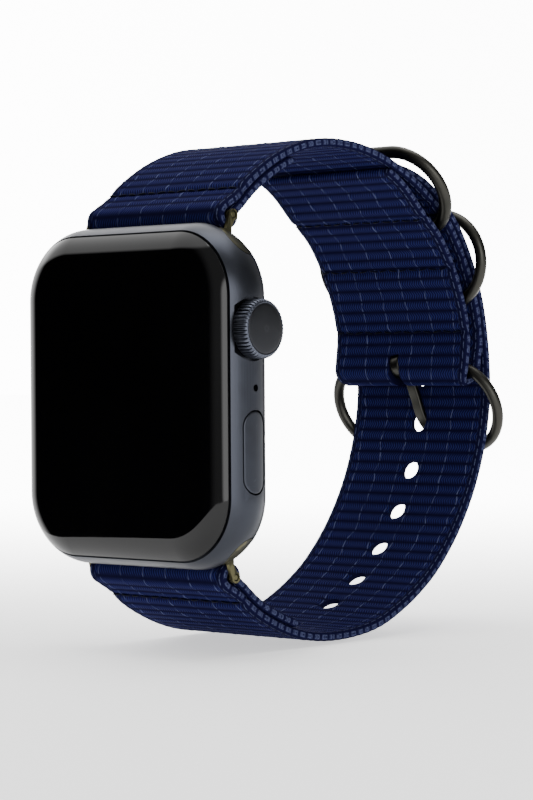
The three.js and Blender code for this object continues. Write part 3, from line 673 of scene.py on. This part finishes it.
def crystal_dome():
    rise = [(CRYSTAL_RADIUS * math.sin(a), HALF_DEPTH + CRYSTAL_PROUD * (2 * math.cos(a) - 1))
            for a in np.linspace(math.pi / 3.2, 0, 14)]
    rim = [(0, CRYSTAL_BACK), (CRYSTAL_RADIUS, CRYSTAL_BACK), (CRYSTAL_RADIUS, HALF_DEPTH - 0.3),
           (CRYSTAL_RADIUS - 0.25, HALF_DEPTH - 0.12)]
    return smooth(spun("crystal_dome", rim + rise, axis="y"))


finish_piece(crystal_dome(), SENSOR, "watch", "back_ceramic", "sensor_crystal")

# ---- crown and side key ----------------------------------------------------------------------


def knurl(angles, radius):
    """Rounded straight teeth round the rim, fading out at its chamfers."""
    if radius < CROWN_RADIUS - 0.45:
        return 0
    depth = KNURL * min(1, 1 - (CROWN_RADIUS - radius) / 0.5)
    tooth = np.abs(np.cos(angles * CROWN_TEETH / 2)) ** 0.8
    return depth * (np.minimum(tooth * 1.35, 1) - 1)


def crown_grip():
    bore, inner = CROWN_BORE, CROWN_CAP + SEAL_PLAY
    floor = CROWN_FACE - CAP_DEPTH
    profile = [
        (bore, CROWN_BACK), (CROWN_RADIUS - 0.45, CROWN_BACK), (CROWN_RADIUS - 0.12, CROWN_BACK + 0.1),
        (CROWN_RADIUS, CROWN_BACK + 0.28), (CROWN_RADIUS, CROWN_FACE - 0.62),
        (CROWN_RADIUS - 0.05, CROWN_FACE - 0.42), (CROWN_RADIUS - 0.16, CROWN_FACE - 0.22),
        (CROWN_RADIUS - 0.32, CROWN_FACE - 0.07), (CROWN_RADIUS - 0.46, CROWN_FACE),
        (inner + 0.05, CROWN_FACE), (inner, CROWN_FACE - 0.05), (inner, floor), (bore, floor),
        (bore, CROWN_BACK)]
    return smooth(spun("crown_grip", profile, centre=(0, CROWN_Z), count=CROWN_TEETH * 14,
                       ripple=knurl), 55)


def crown_disc():
    low = CROWN_FACE - CAP_DEPTH + SEAL_PLAY
    dome = [(CROWN_CAP * math.cos(a), CROWN_FACE - 0.02 + 0.2 * math.sin(a))
            for a in np.linspace(0, math.pi / 2, 16)]
    return smooth(spun("crown_disc", [(0, low), (CROWN_CAP, low)] + dome, centre=(0, CROWN_Z)))


finish_piece(crown_grip(), CROWN, "crown", "case_metal", "crown_knob")
finish_piece(crown_disc(), CROWN_DISC, "crown", "case_metal", "crown_cap")


def side_key():
    """A stadium cap whose face follows the pillow, with a soft edge, on a round stem."""
    def ring(inset, drop):
        outline = stadium(BUTTON_LENGTH - 2 * inset, BUTTON_WIDTH - 2 * inset) + (BUTTON_Y, BUTTON_Z)
        x = CORE[0] + np.sqrt(EDGE_RADIUS ** 2 - outline[:, 0] ** 2) - drop
        return np.column_stack([x, outline])

    base = along_x(button_outline(0), BUTTON_SEAT + 0.4)
    soft = [ring(BUTTON_SOFT * (1 - math.cos(a)), BUTTON_SOFT * (1 - math.sin(a)))
            for a in np.linspace(0, math.pi / 2, 6)]
    face = [ring(inset, 0) for inset in np.linspace(0.3, BUTTON_WIDTH / 2 - 0.02, 7)]
    key = tube("side_key_cap", [base, *soft, *face])
    stem = prism(circle((0, BUTTON_Z), BUTTON_STEM, 32), STEM_END, BUTTON_SEAT + 0.8)
    return smooth(boolean(key, stem, "UNION"), 38)


finish_piece(side_key(), CASE, "side_key", "case_metal", "side_button")

# ---- lugs ------------------------------------------------------------------------------------


def ear_outline():
    half = CHANNEL_NECK - RAIL_PLAY
    front, back = RAIL_Y - half, RAIL_Y + half
    return np.concatenate([
        [(front, RAIL_Z), (front, WEB_TOP - 0.2), (RAIL_Y + 0.45, EAR_SHOULDER)],
        arc(BAR, EAR_RADIUS, 170, -80, 26), [(back, EAR_SHOULDER), (back, RAIL_Z)]])


def lug_end(name, side):
    """The rail with its latch bore, its neck and the two ears that hold a spring bar."""
    reach = CASE_WIDTH / 2
    body = prism(rail_outline(-RAIL_PLAY, 1), -reach, reach)
    boolean(body, prism(neck_outline(RAIL_PLAY, 1, WEB_TOP), -EAR_OUTER, EAR_OUTER), "UNION")
    boolean(body, pillow("skin", SEAL_PLAY, 32), "INTERSECT")
    for end in (-1, 1):
        x0, x1 = sorted((end * EAR_INNER, end * EAR_OUTER))
        boolean(body, prism(ear_outline(), x0, x1), "UNION")
    boolean(body, prism(circle(BAR, BAR_BORE, 24), -reach, reach))
    bore = slab(circle((0, 0), LATCH_BORE, 32), RAIL_Y - 1, RAIL_Y + 1)
    rail_middle = (RAIL_Y + HALF_DEPTH) * MM
    bore.data.transform(Matrix.Translation((0, -rail_middle, 0)))
    bore.data.transform(Matrix.Rotation(math.pi / 2, 4, "X"))
    bore.data.transform(Matrix.Translation((0, rail_middle, (RAIL_Z - LATCH_INSET) * MM)))
    boolean(body, bore)
    body.name = name
    if side < 0:
        body.data.transform(Matrix.Diagonal((1, 1, -1, 1)))
        body.data.flip_normals()
    smooth(body, 30)
    return bevelled(body, 0.12, 3)


def spring_bar(name, side):
    """A tube with a shouldered, rounded tip at each end."""
    shoulder, tip = EAR_INNER - CLOSE_PLAY, EAR_OUTER - 0.06
    half = [(BAR_RADIUS - 0.06, shoulder), (0.4, shoulder), (0.4, tip - 0.08), (0.32, tip), (0, tip)]
    profile = [(r, -x) for r, x in half[::-1]] + [(BAR_RADIUS, 0.06 - shoulder)]
    profile += [(BAR_RADIUS, shoulder - 0.06)] + half
    return smooth(spun(name, profile, centre=(BAR[0], side * BAR[1]), count=40), 40)


for label, sign in (("upper", 1), ("lower", -1)):
    finish_piece(lug_end(f"lug_end_{label}", sign), LUGS, "band", "lug_metal", f"lug_{label}")
    finish_piece(spring_bar(f"bar_{label}", sign), LUGS, "band", "steel", f"spring_bar_{label}")

# ---- webbing ---------------------------------------------------------------------------------


class Curve:
    """A uniform Catmull-Rom line through (y, z) points, read by its length."""

    def __init__(self, points, steps=60):
        p = np.asarray(points, float)
        before, after = np.vstack([p[:1], p[:-1]]), np.vstack([p[1:], p[-1:]])
        slope = (after - before) / 2
        t = np.linspace(0, 1, steps, endpoint=False)[:, None]
        spans = [(2 * a - 2 * b + m + n) * t ** 3 + (-3 * a + 3 * b - 2 * m - n) * t ** 2 + m * t + a
                 for a, b, m, n in zip(p[:-1], p[1:], slope[:-1], slope[1:])]
        self.points = np.vstack([*spans, p[-1:]])
        self.lengths = travelled(self.points)
        self.total = self.lengths[-1]

    def at(self, lengths):
        return np.stack([np.interp(lengths, self.lengths, self.points[:, k]) for k in (0, 1)], 1)

    def sideways(self, lengths):
        """Unit vectors to the wrist side."""
        lengths = np.clip(lengths, 0.05, self.total - 0.05)
        along = self.at(lengths + 0.05) - self.at(lengths - 0.05)
        along /= np.linalg.norm(along, axis=1, keepdims=True)
        return np.stack([along[:, 1], -along[:, 0]], 1)

    def run(self, start, stop, shift=0.0, step=0.3):
        lengths = np.linspace(start, stop, max(3, int(abs(stop - start) / step)))
        shift = shift(lengths) if callable(shift) else np.full(len(lengths), shift)
        return self.at(lengths) + self.sideways(lengths) * shift[:, None]


def travelled(points):
    return np.concatenate([[0], np.cumsum(np.linalg.norm(np.diff(points, axis=0), axis=1))])


def resampled(points, step, soften=3):
    """Evenly spaced points on a line, with its joins softened."""
    lengths = travelled(points)
    count = int(lengths[-1] / step) + 1
    wanted = np.linspace(0, lengths[-1], count)
    line = np.stack([np.interp(wanted, lengths, points[:, k]) for k in (0, 1)], 1)
    for _ in range(soften):
        line[1:-1] = (line[:-2] + 2 * line[1:-1] + line[2:]) / 4
    return line


def step_between(x, low, high):
    t = np.clip((x - low) / (high - low), 0, 1)
    return t * t * (3 - 2 * t)


def lower_path():
    """The lower strap's line, run on over the outside of the upper strap to its tip."""
    lengths = np.linspace(UPPER.total - TAIL_FROM, UPPER.total - TAIL_TO, 8)
    tail = UPPER.at(lengths) - UPPER.sideways(lengths) * LAYER_STEP
    return Curve(LOWER_LINE + [tuple(p) for p in tail])


UPPER = Curve(UPPER_LINE)
LOWER = lower_path()
TUNNEL_SEAMS = [UPPER.total - 25.4, UPPER.total - 14.9, UPPER.total - 4.2]


def tunnel_gap(lengths):
    closing = step_between(lengths, UPPER.total - TUNNEL_LENGTH, UPPER.total - TUNNEL_OPEN)
    return LAYER_STEP + (2 * RING_LOOP - LAYER_STEP) * closing


def upper_centre_line():
    y, z = BUCKLE["pivot"]
    return resampled(np.vstack([
        UPPER.run(FOLD_BACK, LOOP_END, LAYER_STEP),
        arc(BAR, BAR_LOOP, LOOP_FROM, LOOP_TO, 30),
        UPPER.run(LOOP_END, UPPER.total),
        arc((y, z - LOOP_SLACK), RING_LOOP, 6, -186, 26),
        UPPER.run(UPPER.total - LOOP_END, UPPER.total - TUNNEL_LENGTH, tunnel_gap)]), WEAVE_STEP)


def lower_centre_line():
    return resampled(np.vstack([
        LOWER.run(FOLD_BACK, LOOP_END, -LAYER_STEP),
        arc((BAR[0], -BAR[1]), BAR_LOOP, -LOOP_FROM, -LOOP_TO, 30),
        LOWER.run(LOOP_END, LOWER.total)]), WEAVE_STEP)


def across():
    """Places across the webbing, closer together in the round edges."""
    half = WEB_WIDTH / 2
    flat = half - EDGE_ROUND
    middle = np.linspace(-flat, flat, int(2 * flat / ACROSS_STEP) + 1)
    rim = flat + EDGE_ROUND * np.sin(np.radians([22, 44, 64, 80, 90]))
    return np.concatenate([-rim[::-1], middle, rim])


def relief(u, v):
    """Height of the weave above the flat webbing: ribs, ripstop threads and braided edges."""
    rib = np.abs(np.sin(math.pi * v / RIB)) ** 0.9
    waver = 0.12 * np.sin(v / 3.1) + 0.08 * np.sin(v / 1.3)
    off = np.abs(np.mod((u + waver) / RIPSTOP, 1) - 0.5) * RIPSTOP
    thread = step_between(-off, -0.32, -0.1) * rib
    edge = step_between(np.abs(u), WEB_WIDTH / 2 - SELVAGE, WEB_WIDTH / 2 - SELVAGE + 0.3)
    run = np.abs(np.mod((v + BRAID_SLANT * np.abs(u)) / BRAID, 1) - 0.5)
    braid = step_between(-run, -0.4, -0.12)
    return (1 - edge) * (RIB_HEIGHT * rib + 0.04 * thread) + edge * (0.04 + 0.03 * braid)


def half_thickness(u, v, end, thinned, seams):
    """Half the webbing's thickness at places across and along it, with grooves and pressed rims."""
    height = WEB / 2 - RIB_HEIGHT + relief(u, v)
    for length, depth in seams:
        height -= depth * np.exp(-((v - length) / SEAM_SPREAD) ** 2)
    for length, radius, stretch in thinned:
        gap = np.hypot(u, np.maximum(np.abs(v - length) - stretch, 0)) - radius
        height *= RIM_PRESS + (1 - RIM_PRESS) * step_between(gap, 0.1, 1.1)
    inside = np.clip((WEB_WIDTH / 2 - np.abs(u)) / EDGE_ROUND, 0, 1)
    height *= np.sqrt(1 - (1 - inside) ** 2)
    to_end = np.minimum(v, end - v)
    return height * (END_PRESS + (1 - END_PRESS) * step_between(to_end, 0, 0.6))


def skin_faces(rows, count):
    """Faces of two grids, one above the other, joined at their first and last rows."""
    shift = rows * count
    top = np.array(grid_faces(rows, count))
    first = np.arange(count - 1)
    last = first + (rows - 1) * count
    caps = [[a + 1, a, a + shift, a + 1 + shift] for a in first]
    caps += [[a, a + 1, a + 1 + shift, a + shift] for a in last]
    return top.tolist() + (top[:, ::-1] + shift).tolist() + caps


def map_weave(mesh, u, v):
    """Stores millimetres across and along as the map that the woven material reads."""
    weave = mesh.uv_layers.new(name="weave")
    corner = np.zeros(len(mesh.loops), int)
    mesh.loops.foreach_get("vertex_index", corner)
    spot = np.stack([np.tile(u.ravel(), 2), np.tile(v.ravel(), 2)], 1)[corner]
    weave.data.foreach_set("uv", spot.ravel().astype(np.float32))


def weld(mesh):
    """Joins the points that meet along the edges."""
    shape = bmesh.new()
    shape.from_mesh(mesh)
    bmesh.ops.remove_doubles(shape, verts=shape.verts, dist=1e-7)
    shape.to_mesh(mesh)
    shape.free()


def webbing(name, line, width, thinned=(), seams=()):
    """A closed skin of woven webbing along a line.

    width gives the half width by length, thinned lists (length, radius, stretch) of holes whose
    rims are pressed thin, and seams lists (length, depth) of sewn grooves."""
    lengths = travelled(line)
    along = tangents(line)
    normal = np.stack([along[:, 1], -along[:, 0]], 1)
    u, v = np.meshgrid(across(), lengths)
    height = half_thickness(u, v, lengths[-1], thinned, seams)
    scale = width(lengths)[:, None] / (WEB_WIDTH / 2)
    sides = [np.stack([u * scale, line[:, :1] + sign * normal[:, :1] * height,
                       line[:, 1:] + sign * normal[:, 1:] * height], 2) for sign in (1, -1)]
    points = np.concatenate([side.reshape(-1, 3) for side in sides])
    item = mesh_object(name, points, skin_faces(*u.shape))
    map_weave(item.data, u, v)
    weld(item.data)
    return item


def tangents(line):
    along = np.gradient(line, axis=0)
    return along / np.linalg.norm(along, axis=1, keepdims=True)


def length_on(line, point):
    """How far along a line the nearest place to a point is."""
    return travelled(line)[np.argmin(np.linalg.norm(line - point, axis=1))]


def cutter_at(curve, length, outline, reach=1.6):
    """A prism through the webbing, square to it, at a length of a curve."""
    centre = curve.at([length])[0]
    side = curve.sideways([length])[0]
    along = np.array([-side[1], side[0]])
    rings = []
    for depth in (-reach, reach):
        spots = centre + np.outer(outline[:, 1], along) + side * depth
        rings.append(np.column_stack([outline[:, 0], spots]))
    return tube("cutter", rings)


def hole_plan():
    """Length, radius and stretch of each hole; the tongue pulls its own and those past it along."""
    for i in range(HOLE_COUNT):
        worn = i == TONGUE_HOLE
        length = FIRST_HOLE + i * HOLE_PITCH + (WORN_SHIFT if i >= TONGUE_HOLE else 0)
        yield length, (WORN_RADIUS if worn else HOLE_RADIUS), (WORN_STRETCH if worn else 0)


def lower_webbing():
    line = lower_centre_line()
    end = travelled(line)[-1]

    def width(lengths):
        over = np.clip(lengths - (end - TIP_RADIUS), 0, TIP_RADIUS * 0.999)
        return WEB_WIDTH / 2 - (TIP_RADIUS - np.sqrt(TIP_RADIUS ** 2 - over ** 2)) * 0.9

    thinned = [(length_on(line, LOWER.at([at])[0]), r, s) for at, r, s in hole_plan()]
    seams = [(length_on(line, LOWER.at([LUG_SEAM])[0]), SEAM_DEPTH)]
    strap = webbing("lower_webbing", line, width, thinned, seams)
    cutters = [cutter_at(LOWER, at, stadium(2 * (r + s), 2 * r)) for at, r, s in hole_plan()]
    return carved(strap, cutters)


def upper_webbing():
    line = upper_centre_line()
    fold = length_on(line, np.array(BUCKLE["pivot"]) + (0, -LOOP_SLACK - RING_LOOP))

    def width(lengths):
        return WEB_WIDTH / 2 - 1.0 * np.exp(-((lengths - fold) / 1.5) ** 2)

    inner = [UPPER.at([at])[0] + UPPER.sideways([at])[0] * tunnel_gap(at) for at in TUNNEL_SEAMS]
    seams = [(length_on(line, p), FELL_DEPTH) for p in inner]
    seams += [(length_on(line, UPPER.at([at])[0]), SEAM_DEPTH) for at in (LUG_SEAM, *TUNNEL_SEAMS)]
    strap = webbing("upper_webbing", line, width, (), seams)
    y, z = BUCKLE["pivot"]
    slot = block((-SLOT_HALF, SLOT_HALF), (y - 3, y + 3), (z - SLOT_BELOW, z + SLOT_ABOVE))
    return carved(strap, [slanted(slot)])


def slanted(item):
    """Turns a piece built at x = 0 to the tongue's place and slant."""
    pivot = Vector(place([(0, *BUCKLE["pivot"])])[0])
    lean = math.radians(BUCKLE["lean"])
    square = Vector((0, math.sin(lean), -math.cos(lean)))
    slant = Matrix.Rotation(math.radians(TONGUE_SLANT), 4, square)
    shift = Matrix.Translation(pivot + Vector((TONGUE_X * MM, 0, 0)))
    item.data.transform(shift @ slant @ Matrix.Translation(-pivot))
    return item


finish_piece(smooth(upper_webbing(), 70), NAVY, "band", "webbing", "upper_strap")
finish_piece(smooth(lower_webbing(), 70), NAVY, "band", "webbing", "lower_strap")


def stitches(name, rows):
    """Short thread loops in rows across the webbing. A row is (curve, length, shift, facing)."""
    points, faces = [], []
    ring = np.linspace(0, 2 * math.pi, THREAD_SIDES, endpoint=False)
    ends = np.radians(np.linspace(-90, 90, 9))
    places = np.arange(-STITCH_REACH, STITCH_REACH + 0.1, STITCH_LENGTH + STITCH_GAP)
    for curve, at, shift, facing in rows:
        side = curve.sideways([at])[0]
        centre = curve.at([at])[0] + side * shift
        along = np.array([-side[1], side[0]])
        for k, x in enumerate(places):
            slant = THREAD_SLANT if k % 2 else -THREAD_SLANT
            start = len(points)
            for a in ends:
                r = THREAD_RADIUS * max(math.cos(a), 0.02) ** 0.5
                t = math.sin(a)
                bow = facing * THREAD_BOW * math.cos(a * 0.9)
                spot = centre + along * slant * t + side * bow
                for b in ring:
                    yz = spot + along * r * math.cos(b) + side * r * math.sin(b)
                    points.append((x + t * STITCH_LENGTH / 2, yz[0], yz[1]))
            last = start + (len(ends) - 1) * THREAD_SIDES
            faces += grid_faces(len(ends), THREAD_SIDES, wrap_columns=True, start=start)
            faces += [list(range(start, start + THREAD_SIDES)), list(range(last, last + THREAD_SIDES))]
    return smooth(mesh_object(name, np.array(points), faces), 60)


surface = WEB / 2 - THREAD_DEPTH
lug_rows = [(UPPER, LUG_SEAM, -surface, -1), (UPPER, LUG_SEAM, LAYER_STEP + surface, 1)]
tunnel_rows = [(UPPER, at, tunnel_gap(at) + surface, 1) for at in TUNNEL_SEAMS]
finish_piece(stitches("upper_stitches", lug_rows + tunnel_rows), SEAM_SHADE_THREAD, "band", "webbing")
lower_rows = [(LOWER, LUG_SEAM, surface, 1), (LOWER, LUG_SEAM, -LAYER_STEP - surface, -1)]
finish_piece(stitches("lower_stitches", lower_rows), SEAM_SHADE_THREAD, "band", "webbing")

# ---- rings and tongue ------------------------------------------------------------------------


def oval_ring(name, pivot, lean, wire, sides=24):
    """Wire bent into an oval that stands on its lower bar at the pivot.

    wire is the wire's half width in the oval's plane; across the plane it is WIRE on every ring."""
    half, bend_steps = RING_STRAIGHT / 2, 40
    path = np.concatenate([
        [(x, 0) for x in np.linspace(-half, half, 12, endpoint=False)],
        arc((half, RING_RADIUS), RING_RADIUS, -90, 90, bend_steps)[:-1],
        [(x, 2 * RING_RADIUS) for x in np.linspace(half, -half, 12, endpoint=False)],
        arc((-half, RING_RADIUS), RING_RADIUS, 90, 270, bend_steps)[:-1]])
    heading = np.roll(path, -1, axis=0) - np.roll(path, 1, axis=0)
    heading /= np.linalg.norm(heading, axis=1, keepdims=True)
    out = np.stack([heading[:, 1], -heading[:, 0]], 1)
    turn = np.linspace(0, 2 * math.pi, sides, endpoint=False)
    flat = path[:, None, :] + out[:, None, :] * (wire * np.cos(turn))[None, :, None]
    lift = np.broadcast_to(WIRE * np.sin(turn), flat.shape[:2])
    local = np.stack([flat[..., 0], flat[..., 1], lift], 2).reshape(-1, 3)
    c, s = math.cos(math.radians(lean)), math.sin(math.radians(lean))
    points = np.stack([local[:, 0], pivot[0] + c * local[:, 1] - s * local[:, 2],
                       pivot[1] + s * local[:, 1] + c * local[:, 2]], 1)
    faces = grid_faces(len(path), sides, wrap_rows=True, wrap_columns=True)
    return smooth(mesh_object(name, points, faces), 60)


for ring_name, body, node_name, spec in (
        ("ring_front", "keeper_front", "keeper_ring_front", FRONT_KEEPER),
        ("ring_rear", "keeper_rear", "keeper_ring_rear", REAR_KEEPER),
        ("ring_buckle", "buckle", "buckle_ring", BUCKLE)):
    finish_piece(oval_ring(ring_name, **spec), RINGS, body, "ring_metal", node_name)


def tongue_bar():
    """A flat strip wrapped round the buckle's bar that runs on as the tongue."""
    pivot = np.array(BUCKLE["pivot"])
    eye = arc(pivot, TONGUE_EYE + TONGUE_THICK / 2, 300, -14, 40)
    line = resampled(Curve(np.vstack([eye[::3], TONGUE_LINE])).points, 0.18, 6)
    along = tangents(line)
    side = np.stack([along[:, 1], -along[:, 0]], 1)
    section = rounded_rectangle(TONGUE_WIDTH, TONGUE_THICK, 0.26, 6)
    left = travelled(line)[-1] - travelled(line)
    rings = []
    for spot, across_line, rest in zip(line, side, left):
        near_tip = min(1, rest / TIP_TAPER)
        taper = math.sqrt(max(0.03, near_tip * (2 - near_tip)))
        outline = section * (taper, 0.55 + 0.45 * taper)
        yz = spot + np.outer(outline[:, 1], across_line)
        rings.append(np.column_stack([outline[:, 0], yz]))
    return smooth(slanted(tube("tongue_bar", rings)), 50)


finish_piece(tongue_bar(), RINGS, "tongue", "ring_metal", "buckle_tongue")

# ---- CAD nodes that stay ---------------------------------------------------------------------

KEPT_BEVEL = 0.06
KEPT = {
    "display_gasket": RUBBER, "display_panel": SCREEN, "logic_board": BOARD, "battery": PLASTIC,
    "speaker": PLASTIC, "microphone": STEEL, "haptic_housing": STEEL, "haptic_mass": BRASS,
    "sensor_board": BOARD, "back_plate": CERAMIC, "crown_stem": STEEL, "crown_bush": BRASS,
    "crown_carrier": STEEL, "crown_seal": RUBBER, "side_button_switch": BOARD,
    "release_button_upper": CASE, "release_button_lower": CASE, "latch_pin_upper": STEEL,
    "latch_pin_lower": STEEL,
}
for node_name, material in KEPT.items():
    for holder in nodes[node_name].material_slots:
        holder.material = material
    bevelled(nodes[node_name], KEPT_BEVEL)

# ---- stage, light and camera -----------------------------------------------------------------

FLOOR_Z = cad_box[0].z - 0.4 * MM
FLOOR_GLOW, FAR_GLOW = 0.8, 10.5
AZIMUTH, ELEVATION, ROLL = 41.52, 0.598, -0.395
DISTANCE, SIDE_SHIFT, UP_SHIFT = 324.47, 15.757, -0.472
LENS, SENSOR_WIDTH = 112.905, 36

# The studio's brightness, and soft patches that add to it: direction, cosines where a patch
# starts and is full, and how much it adds.
WORLD_LEVEL, WORLD_DIMMEST = 0.45, 0.01
BACKDROP = (-0.663, 0.749, 0.0)
WORLD_LOBES = [
    (BACKDROP, 0.94, 0.975, 12.0),
    ((-0.663, -0.749, 0.0), 0.35, 0.86, -0.6),
    ((0.85, 0.53, 0.0), 0.5, 0.95, -0.3),
    ((-0.5, 0.1, 0.86), 0.69, 0.78, 2.0),
    ((-0.95, 0.3, 0.0), 0.78, 0.95, 1.7),
    ((0.9, -0.43, 0.05), 0.89, 0.95, 4.6),
    ((0.0, 0.0, -1.0), 0.4, 0.7, 0.3),
]


def stage_floor():
    """A pale floor, brighter far behind the object, that ends just in front of it on the left,
    where it would show in the glass."""
    corners = [(62, -110), (-3300, 2965), (4000, 2965), (4000, -1000), (1500, -110)]
    floor = mesh_object("floor", [(x, y, 0) for x, y in corners], [range(len(corners))])
    floor.data.transform(Matrix.Translation((0, 0, FLOOR_Z)))
    look = Finish("pale_floor", 0.9)
    look.set("Base Color", look.mix(look.noise(4.0), (0.84, 0.84, 0.84, 1), (0.88, 0.88, 0.88, 1)))
    away = look.node("ShaderNodeVectorMath", look.place, BACKDROP, operation="DOT_PRODUCT")
    aside = look.node("ShaderNodeVectorMath", look.place, (BACKDROP[1], -BACKDROP[0], 0),
                      operation="DOT_PRODUCT")
    away, aside = away.outputs["Value"], look.math("ABSOLUTE", aside.outputs["Value"])
    spread = look.math("MULTIPLY_ADD", away, -0.2, aside)
    bright = look.times(look.remap(away, 0.0, 0.45), look.remap(spread, 0.16, 0.04))
    look.set("Emission Color", (1, 1, 1, 1))
    look.set("Emission Strength", look.math("MULTIPLY_ADD", bright, FAR_GLOW, FLOOR_GLOW))
    dress(floor, look.material)


def studio_world():
    """A pale studio: white behind the object, dark to the front left where the flat glass looks."""
    world = bpy.data.worlds.new("studio")
    bpy.context.scene.world = world
    world.use_nodes = True
    sky = Nodes(world.node_tree)
    where = sky.node("ShaderNodeTexCoord").outputs["Generated"]
    total = WORLD_LEVEL
    for direction, low, high, amount in WORLD_LOBES:
        toward = Vector(direction).normalized()
        dot = sky.node("ShaderNodeVectorMath", where, toward, operation="DOT_PRODUCT")
        total = sky.math("ADD", total, sky.remap(dot.outputs["Value"], low, high, 0.0, amount))
    background = sky.tree.nodes["Background"]
    sky.feed(background.inputs["Strength"], sky.math("MAXIMUM", total, WORLD_DIMMEST))
    sky.feed(background.inputs["Color"], (1, 1, 1, 1))


def softbox(name, spot, target, size, power):
    light = bpy.data.lights.new(name, "AREA")
    light.shape = "RECTANGLE"
    light.size, light.size_y = size[0] * MM, size[1] * MM
    light.energy = power
    item = bpy.data.objects.new(name, light)
    bpy.context.scene.collection.objects.link(item)
    item.location = place([spot])[0]
    aim = Vector(place([target])[0]) - item.location
    item.rotation_euler = aim.to_track_quat("-Z", "Y").to_euler()


def studio_camera():
    """A long lens at the case's height, from the crown side of the display."""
    a, e, r = map(math.radians, (AZIMUTH, ELEVATION, ROLL))
    back = Vector((math.sin(a) * math.cos(e), -math.cos(a) * math.cos(e), math.sin(e)))
    right = Vector((math.cos(a), math.sin(a), 0))
    up = right.cross(-back)
    across_frame = math.cos(r) * right + math.sin(r) * up
    up_frame = -math.sin(r) * right + math.cos(r) * up
    spot = back * DISTANCE + across_frame * SIDE_SHIFT + up_frame * UP_SHIFT
    data = bpy.data.cameras.new("camera")
    data.sensor_width = SENSOR_WIDTH
    data.lens = LENS
    data.clip_start, data.clip_end = 0.01, 20
    camera = bpy.data.objects.new("camera", data)
    bpy.context.scene.collection.objects.link(camera)
    turn = Matrix((across_frame, up_frame, back)).transposed().to_4x4()
    camera.matrix_world = Matrix.Translation(Vector(place([spot])[0])) @ turn
    bpy.context.scene.camera = camera


stage_floor()
studio_world()
softbox("top", spot=(40, 60, 420), target=(0, 20, 0), size=(300, 300), power=0.8)
studio_camera()
